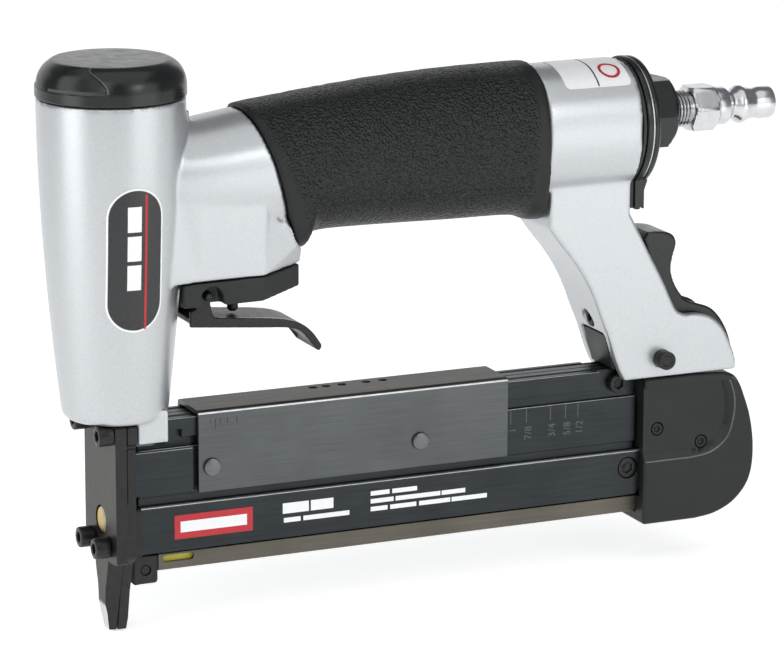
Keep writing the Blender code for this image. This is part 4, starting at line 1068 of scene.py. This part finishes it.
def selector_cover():
    low, high = corner("selector_cover", 0), corner("selector_cover", 1)
    sheet = cover_sheet(low, high, high.y - 1.2)
    made = new_object("selector_cover_sheet", prism(sheet, "YZ", low.x, high.x))
    for step in DETENT_STEPS:
        cut(made, rod(1.25, 56, 62, "Z", (DETENT_AXIS[0] - step, DETENT_AXIS[1], 0), 32))
    for _, x, z in COVER_RIVETS:
        cut(made, rod(1.5, -12, 12, "Y", (x, 0, z), 32))
    bevel(made, 0.14, 2, 50)
    finish_piece(made, "cover_steel", "selector_cover")
    # painted highlight, partly bare edges: the top fold's bevels get the bright edge metal
    restyle_faces(made, lambda place, normal: 0.15 < normal.z < 0.7 and abs(normal.y) > 0.3 and place.z > high.z - 1.6)
    # painted shade: the flat top face gets the darker, browner copy of the cover steel
    restyle_faces(made, lambda place, normal: normal.z > 0.7 and place.z > high.z - 1.6, "cover_upper_face_shaded")
    for place, x, z in COVER_RIVETS:
        for side, word in SIDES:
            head = high.y + 0.05
            profile = (
                (0.02, 5.9), (1.2, 5.9), (1.2, head), (2.25, head), (2.4, head + 0.15), (2.4, head + 0.5),
                (2.25, head + 0.75), (1.9, head + 0.9), (0.02, head + 1.0),
            )
            profile = [(radius, side * reach) for radius, reach in profile]
            rivet = new_object(f"cover_rivet_detail_{place}_{word}", turned(profile, "Y", (x, 0, z), 48))
            finish_piece(rivet, "rivet_steel", f"cover_rivet_{place}_{word}", angle=35)


def cover_sheet(low, high, inner):
    """The folded sheet in YZ: an outer and an inner run with rounded folds."""
    outer = [(high.y, low.z), (high.y, high.z), (-high.y, high.z), (-high.y, low.z)]
    inside = [(-inner, low.z), (-inner, high.z - 1.2), (inner, high.z - 1.2), (inner, low.z)]
    return rounded(outer + inside, [0.15, 1.5, 1.5, 0.15, 0.15, 0.4, 0.4, 0.15], 5)


# ---------------------------------------------------------------- magazine, sliding part


def pin_tray():
    outline = (
        (-5, 15.7), (5, 15.7), (5, 20.3), (4, 20.3), (4, 17), (1.3, 17), (1.3, 46),
        (0.5, 46), (0.5, 17), (-4, 17), (-4, 20.3), (-5, 20.3),
    )
    radii = [0.7, 0.7, 0.2, 0.2, 0.3, 0.1, 0.2, 0.2, 0.1, 0.3, 0.2, 0.2]
    made = new_object("pin_tray_detail", prism(rounded(outline, radii, 3), "YZ", 9.9, 160.0))
    window = rounded(((11.2, 17.9), (20.0, 17.9), (20.0, 19.8), (11.2, 19.8)), 0.85)
    cut(made, prism(window, "XZ", -8, -3.5))
    bevel(made, 0.12, 2, 50)
    finish_piece(made, "tray_steel", "pin_tray")


def end_cap():
    run = spline(
        [(170, 54.9), (177.4, 54.5), (180.6, 53.4), (182.4, 51.2), (184, 47.6), (186.2, 41), (187.4, 33.5),
         (187.2, 26.2), (185.4, 20.9), (181.2, 16.4), (175.4, 13.7), (169, 12.8)], 5,
    )
    outline = [(152.6, 54.9), *run, (152.6, 12.8)]
    made = new_object("end_cap_shell", prism(outline, "XZ", -10, 10))
    bevel(made, 1.0, 8, 60)
    inner = [(168.0, 33.3), (173.2, 34.4), (177.0, 38.0), (178.3, 43.2), (178.2, 48.0), (176.8, 52.1)]
    outer = [(167.6, 30.8), (173.9, 31.8), (179.0, 35.6), (181.0, 42.0), (181.0, 47.6), (179.4, 52.3)]
    inner = [(150, 33.3), *spline(inner, 5), (150, 52.1)]
    outer = [(150, 30.8), *spline(outer, 5), (150, 52.3)]
    near = [tuple(Vector(a).lerp(Vector(b), 0.86)) for a, b in zip(inner, outer)]
    for side in (-1, 1):
        levels = [(inner, 9.0), (inner, 9.05), (near, 9.83), (outer, 10.02), (outer, 12.0)]
        rings = [[(x, side * y, z) for x, z in outline_at] for outline_at, y in levels]
        cut(made, skin(rings))
    cut(made, box((140, 160.3), (-5.3, 5.3), (15.4, 20.6)))
    cut(made, box((140, 154.1), (-7.1, 7.1), (20.4, 34.5)))
    cut(made, box((140, 160.3), (0.2, 1.6), (18, 46.3)))
    for _, x, z in END_CAP_SCREWS:
        cut(made, rod(2.0, -12, -7.6, "Y", (x, 0, z), 40))
        cut(made, rod(1.2, -9, -2.6, "Y", (x, 0, z), 32))
    finish_piece(made, "moulded_black", "end_cap", angle=12)
    # painted highlight: the ramp's outer edge round the recessed panel gets a lighter black
    restyle_faces(
        made,
        lambda place, normal: 9.84 < abs(place.y) < 9.99 and place.x < 181.3 and 24 < place.z < 53
        and 0.4 < abs(normal.y) < 0.999,
        "painted_highlight_black",
    )
    for place, x, z in END_CAP_SCREWS:
        socket_screw(f"end_cap_screw_{place}", (x, -7.9, z), "Y", -1, (1.7, 1.2), (0.9, 4.8), (0.8, 0.8))


def pusher():
    outline = rounded(((-2.6, 17.3), (0.2, 17.3), (0.2, 44), (-0.6, 44), (-0.6, 20.0), (-2.6, 20.0)), 0.15, 2)
    made = new_object("pusher_detail", prism(outline, "YZ", 11.4, 26.0))
    bevel(made, 0.1, 2, 50)
    finish_piece(made, "plating", "pusher")
    flag = new_object("load_indicator_detail", box((11.5, 20.6), (-3.7, -2.9), (17.4, 20.0)))
    bevel(flag, 0.15, 2)
    finish_piece(flag, "yellow_marker", "load_indicator")
    spring = new_object("pusher_spring_coil", coil(1.2, 0.25, 26.3, 148.7, 60, "X", (0, -1.8, 18.7), 12, 5))
    finish_spring(spring, "pusher_spring")


# ---------------------------------------------------------------- latch


def latch():
    front = [(152.6, 60.5), (153.2, 66), (155, 75), (154.8, 88), (153.2, 93.8)]
    thumb = [
        (154.4, 95.8), (158.4, 95.7), (162.0, 94.6), (163.2, 92.0), (162.2, 88.0), (161.8, 84.6),
        (162.8, 81), (164.7, 77.8), (167, 75.4), (170.6, 74.1), (174.6, 72.5), (177.8, 69.2),
        (180.2, 64.8), (181.5, 60.4),
    ]
    foot = [(181.4, 58.9), (174, 58.3), (173, 55.7), (169.5, 55.7), (168.8, 58.3), (157.2, 57.8), (154, 58.5)]
    outline = spline(front, 4) + spline(thumb, 4) + foot
    made = new_object("latch_lever_detail", prism(outline, "XZ", -6.4, 6.4))
    dish = ((163.2, 75), (190, 75), (190, 60), (183.5, 60), (176.2, 70.8), (169.6, 73.0))
    dish = rounded(dish, [3, 0, 0, 0, 3, 3])
    cut(made, prism(dish, "XZ", -4.6, 4.6))
    cast(made, 0.36, 4)
    cut(made, rod(2.5, -8, 8, "Y", LATCH_PIVOT, 40))
    finish_piece(made, "gloss_black", "latch_lever")
    reach = LATCH_PIN_REACH
    profile = (
        (0.02, -reach + 0.35), (1.3, -reach + 0.35), (1.6, -reach + 0.05), (2.1, -reach),
        (2.5, -reach + 0.15), (2.6, -reach + 0.4), (2.6, -10.7), (2.1, -10.7), (2.1, 10.7), (2.6, 10.7),
        (2.6, reach - 0.4), (2.2, reach), (0.02, reach),
    )
    pin = new_object("latch_pin_detail", turned(profile, "Y", LATCH_PIVOT, 48))
    finish_piece(pin, "black_oxide", "latch_pin", angle=30)
    spring = new_object("latch_spring_coil", coil(2.0, 0.35, 147.7, 154.2, 5, "X", (0, 0, 88.0)))
    finish_spring(spring, "latch_spring")


# ---------------------------------------------------------------- labels


def strip_grid(rows, columns, place, low, high):
    """A thin closed skin over rows of (along, from, to), between two heights off a surface."""
    bm = bmesh.new()
    layers = []
    for lift in (low, high):
        layer = []
        for along, start, end in rows:
            across = [start + (end - start) * i / columns for i in range(columns + 1)]
            layer.append([bm.verts.new(place(value, along, lift)) for value in across])
        layers.append(layer)
    for layer in layers:
        for lower, upper in zip(layer, layer[1:]):
            for i in range(columns):
                bm.faces.new((lower[i], lower[i + 1], upper[i + 1], upper[i]))
    bottom, top = layers
    last = len(rows) - 1
    for i in range(columns):
        bm.faces.new((bottom[0][i], bottom[0][i + 1], top[0][i + 1], top[0][i]))
        bm.faces.new((bottom[last][i], bottom[last][i + 1], top[last][i + 1], top[last][i]))
    for j in range(last):
        for i in (0, columns):
            bm.faces.new((bottom[j][i], bottom[j + 1][i], top[j + 1][i], top[j][i]))
    return bm


def on_barrel(across, z, lift):
    """A point on the barrel's left side: across is the distance along its arc from -Y."""
    radius = barrel_radius(z)
    angle = -math.pi / 2 + across / radius
    return ((radius + lift) * math.cos(angle), (radius + lift) * math.sin(angle), z)


def stadium_rows(low, high, half_width, count=48):
    rows = []
    for step in range(count + 1):
        share = (1 - math.cos(math.pi * step / count)) / 2
        z = low + (high - low) * share
        inside = min(z - low, high - z, half_width)
        reach = math.sqrt(max(half_width**2 - (half_width - inside) ** 2, 0.02))
        rows.append((z, -reach, reach))
    return rows


def barrel_label():
    """A black stadium with a white border, a red line and plain white bars."""
    border = [(z + 0.5, a - 0.3, b - 0.3) for z, a, b in stadium_rows(84.3, 122.7, 7.85)]
    field = [(z + 0.5, a - 0.3, b - 0.3) for z, a, b in stadium_rows(84.85, 122.15, 7.3)]
    line = [(z + 0.5, 2.1, 2.75) for z in range(85, 122)]
    parts = (
        ("barrel_label_border", border, 20, 0.06, 0.13, "label_white"),
        ("barrel_label_field", field, 20, 0.1, 0.19, "label_black"),
        ("barrel_label_line", line, 2, 0.15, 0.23, "label_red"),
    )
    for name, rows, columns, low, high, material in parts:
        made = new_object(name, strip_grid(rows, columns, on_barrel, low, high))
        dress(made, material, "tool_body", angle=40)
    for index, (low, high) in enumerate(((96.2, 102.9), (104.0, 110.6), (111.7, 118.4))):
        rows = [(low + (high - low) * i / 8, -2.6, 1.1) for i in range(9)]
        made = new_object(f"barrel_label_bar_{index}", strip_grid(rows, 6, on_barrel, 0.15, 0.22))
        dress(made, "label_white", "tool_body", angle=40)


def on_head(angle, x, lift):
    """A point on the handle's rear head: angle runs up the left side, 90 degrees on top."""
    _, half_width, bottom, top = HANDLE_STATIONS[-1]
    power = 2 / HANDLE_EXPONENT
    cosine, sine = math.cos(math.radians(angle)), math.sin(math.radians(angle))
    y = (half_width + lift) * math.copysign(abs(cosine) ** power, cosine)
    z = (bottom + top) / 2 + ((top - bottom) / 2 + lift) * math.copysign(abs(sine) ** power, sine)
    return (x, y, z)


def head_label():
    """A white label over the head's top, with a black divider and a plain red ring."""
    rows = []
    low, high, radius = 125.4, 145.2, 1.4
    for step in range(41):
        x = low + (high - low) * (1 - math.cos(math.pi * step / 40)) / 2
        inside = min(x - low, high - x, radius)
        trim = (radius - math.sqrt(max(radius**2 - (radius - inside) ** 2, 0.0))) * 4.5
        rows.append((x, 82.0 + trim, 138.0 - trim))
    made = new_object("head_label_field", strip_grid(rows, 28, on_head, 0.04, 0.14))
    dress(made, "label_white", "tool_body", angle=40)
    rows = [(x, 84.0, 136.8) for x in (135.1, 135.5)]
    made = new_object("head_label_divider", strip_grid(rows, 28, on_head, 0.1, 0.2))
    dress(made, "label_black", "tool_body", angle=40)
    centre_x, centre_angle, steps = 140.4, 116.0, 48
    bm = bmesh.new()
    rings = []
    for radius, lift in ((2.3, 0.1), (3.1, 0.1), (3.1, 0.22), (2.3, 0.22)):
        points = []
        for step in range(steps):
            turn = 2 * math.pi * step / steps
            angle = centre_angle + 3.9 * radius * math.sin(turn)
            points.append(on_head(angle, centre_x + radius * math.cos(turn), lift))
        rings.append(points)
    made = new_object("head_label_ring", skin(rings, bm, closed=True))
    dress(made, "label_red", "tool_body", angle=40)


def rail_label():
    """Plain blocks on the lower rail: a red and white badge, and pale lines."""
    surface = -6.7

    def on_rail(x, z, lift):
        return (x, surface - lift, z)

    def plate(name, x, z, low, high, material):
        rows = [(z[0], *x), (z[1], *x)]
        made = new_object(name, strip_grid(rows, 1, on_rail, low, high))
        dress(made, material, "tool_body")

    plate("badge_red", (13.9, 36.3), (24.4, 31.0), 0.0, 0.08, "label_red")
    plate("badge_white", (15.6, 34.6), (26.2, 29.2), 0.05, 0.12, "label_white")
    lines = (
        (27.9, 2.9, ((45.0, 52.6), (53.2, 59.8))),
        (25.4, 1.3, ((45.3, 50.2), (51.0, 64.5))),
        (30.0, 1.25, ((70.8, 76.4), (77.2, 84.6))),
        (27.8, 1.25, ((70.8, 77.6), (78.2, 91.6), (92.0, 99.1))),
        (25.6, 1.25, ((70.8, 75.8), (76.6, 84.4), (85.2, 94.6), (95.0, 105.7))),
    )
    for row, (z, height, spans) in enumerate(lines):
        for index, span in enumerate(spans):
            plate(f"plain_line_{row}_{index}", span, (z, z + height), 0.0, 0.06, "label_white")


# ---------------------------------------------------------------- CAD pieces that stay


def inner_springs():
    spring = new_object("head_valve_coil", coil(9.2, 0.7, 134.3, 147.7, 4, "Z", (0, 0, 0), 40, 8))
    finish_spring(spring, "head_valve_spring")
    spring = new_object("detent_coil", coil(0.9, 0.2, 50.8, 54.9, 5, "Z", DETENT_AXIS))
    finish_piece(spring, "wire", "detent_spring", angle=60)


def carried_nodes():
    """Gives the CAD solids that still show their procedural materials."""
    looks = {"aluminium": "machined", "bright_steel": "plating", "seal_rubber": "seal"}
    looks.update({"black_steel": "black_oxide", "spring_steel": "wire"})
    for name, node in frame["nodes"].items():
        if not node.hide_render:
            node.data.materials.clear()
            node.data.materials.append(MATERIALS[looks[SLOT_OF[name]]])


# ---------------------------------------------------------------- stage, light and camera


def area_light(name, place, aim, size, watts):
    lamp = bpy.data.lights.new(name, "AREA")
    lamp.shape = "RECTANGLE"
    lamp.size, lamp.size_y = size
    lamp.energy = watts
    made = bpy.data.objects.new(name, lamp)
    made.location = place
    made.rotation_euler = (Vector(aim) - Vector(place)).to_track_quat("-Z", "Y").to_euler()
    made.visible_camera = False
    link(made)


def stage():
    floor = new_object("floor", box((-4000, 4000), (-4000, 4000), (-30.5, -0.5)))
    made = Shader("floor_white", (0.9, 0.9, 0.9), 0.8)
    made.colour(made.mix(made.noise(3.0, 2.0), (0.89, 0.89, 0.89), (0.92, 0.92, 0.92)))
    made.set("Emission Color", (1.0, 1.0, 1.0, 1.0))
    made.set("Emission Strength", 0.6)
    floor.data.materials.append(made.made)
    world = bpy.data.worlds.new("studio")
    bpy.context.scene.world = world
    world.use_nodes = True
    background = world.node_tree.nodes["Background"]
    background.inputs["Color"].default_value = (0.92, 0.95, 1.0, 1.0)
    background.inputs["Strength"].default_value = 0.2
    area_light("overhead", (0.05, -0.4, 1.2), (0.1, 0.0, 0.05), (1.7, 1.3), 6)
    area_light("front_left", (-0.6, -1.1, 0.7), (0.06, 0, 0.09), (0.4, 1.0), 2.2)
    area_light("front_right", (0.45, -1.1, 0.62), (0.1, 0, 0.1), (0.28, 0.32), 1.3)
    area_light("behind", (0.2, 1.5, 0.5), (0.1, 0, 0.1), (2.6, 0.8), 5.5)
    area_light("low_left", (-0.40, -0.07, 0.24), (0.0, 0.0, 0.1), (0.26, 0.5), 0.8)
    area_light("low_right", (0.28, -0.42, 0.2), (0.1, 0.0, 0.08), (0.4, 0.4), 0.6)
    bpy.context.scene.view_settings.view_transform = "Standard"


def camera():
    """The photograph's viewpoint: from the front left, a little above the tool."""
    azimuth, elevation, roll = math.radians(-24.065), math.radians(13.760), math.radians(0.212)
    distance, lens, sensor = 1.058545, 181.74, 36.0
    across, upward = 0.073296, 0.080621
    level = math.cos(elevation)
    back = Vector((math.sin(azimuth) * level, -math.cos(azimuth) * level, math.sin(elevation)))
    right = Vector((math.cos(azimuth), math.sin(azimuth), 0.0))
    up = back.cross(right)
    tilted_right = right * math.cos(roll) + up * math.sin(roll)
    tilted_up = up * math.cos(roll) - right * math.sin(roll)
    data = bpy.data.cameras.new("camera")
    data.sensor_width = sensor
    data.lens = lens
    data.clip_start = 0.05
    made = bpy.data.objects.new("camera", data)
    place = tilted_right * across + tilted_up * upward + back * distance
    turn = Matrix((tilted_right, tilted_up, back)).transposed().to_4x4()
    made.matrix_world = Matrix.Translation(place) @ turn
    link(made)
    bpy.context.scene.camera = made


make_materials()
camera()
housing()
top_cap()
grip_sleeve()
handle_cap()
air_plug()
trigger_bracket()
trigger_lever()
trigger_valve()
nose_plate()
driver_guide()
foot_block()
side_strips()
nose_screws()
magazine_sides()
rear_screws()
hanger()
scale_marks()
selector_cover()
pin_tray()
end_cap()
pusher()
latch()
barrel_label()
head_label()
rail_label()
inner_springs()
carried_nodes()
stage()
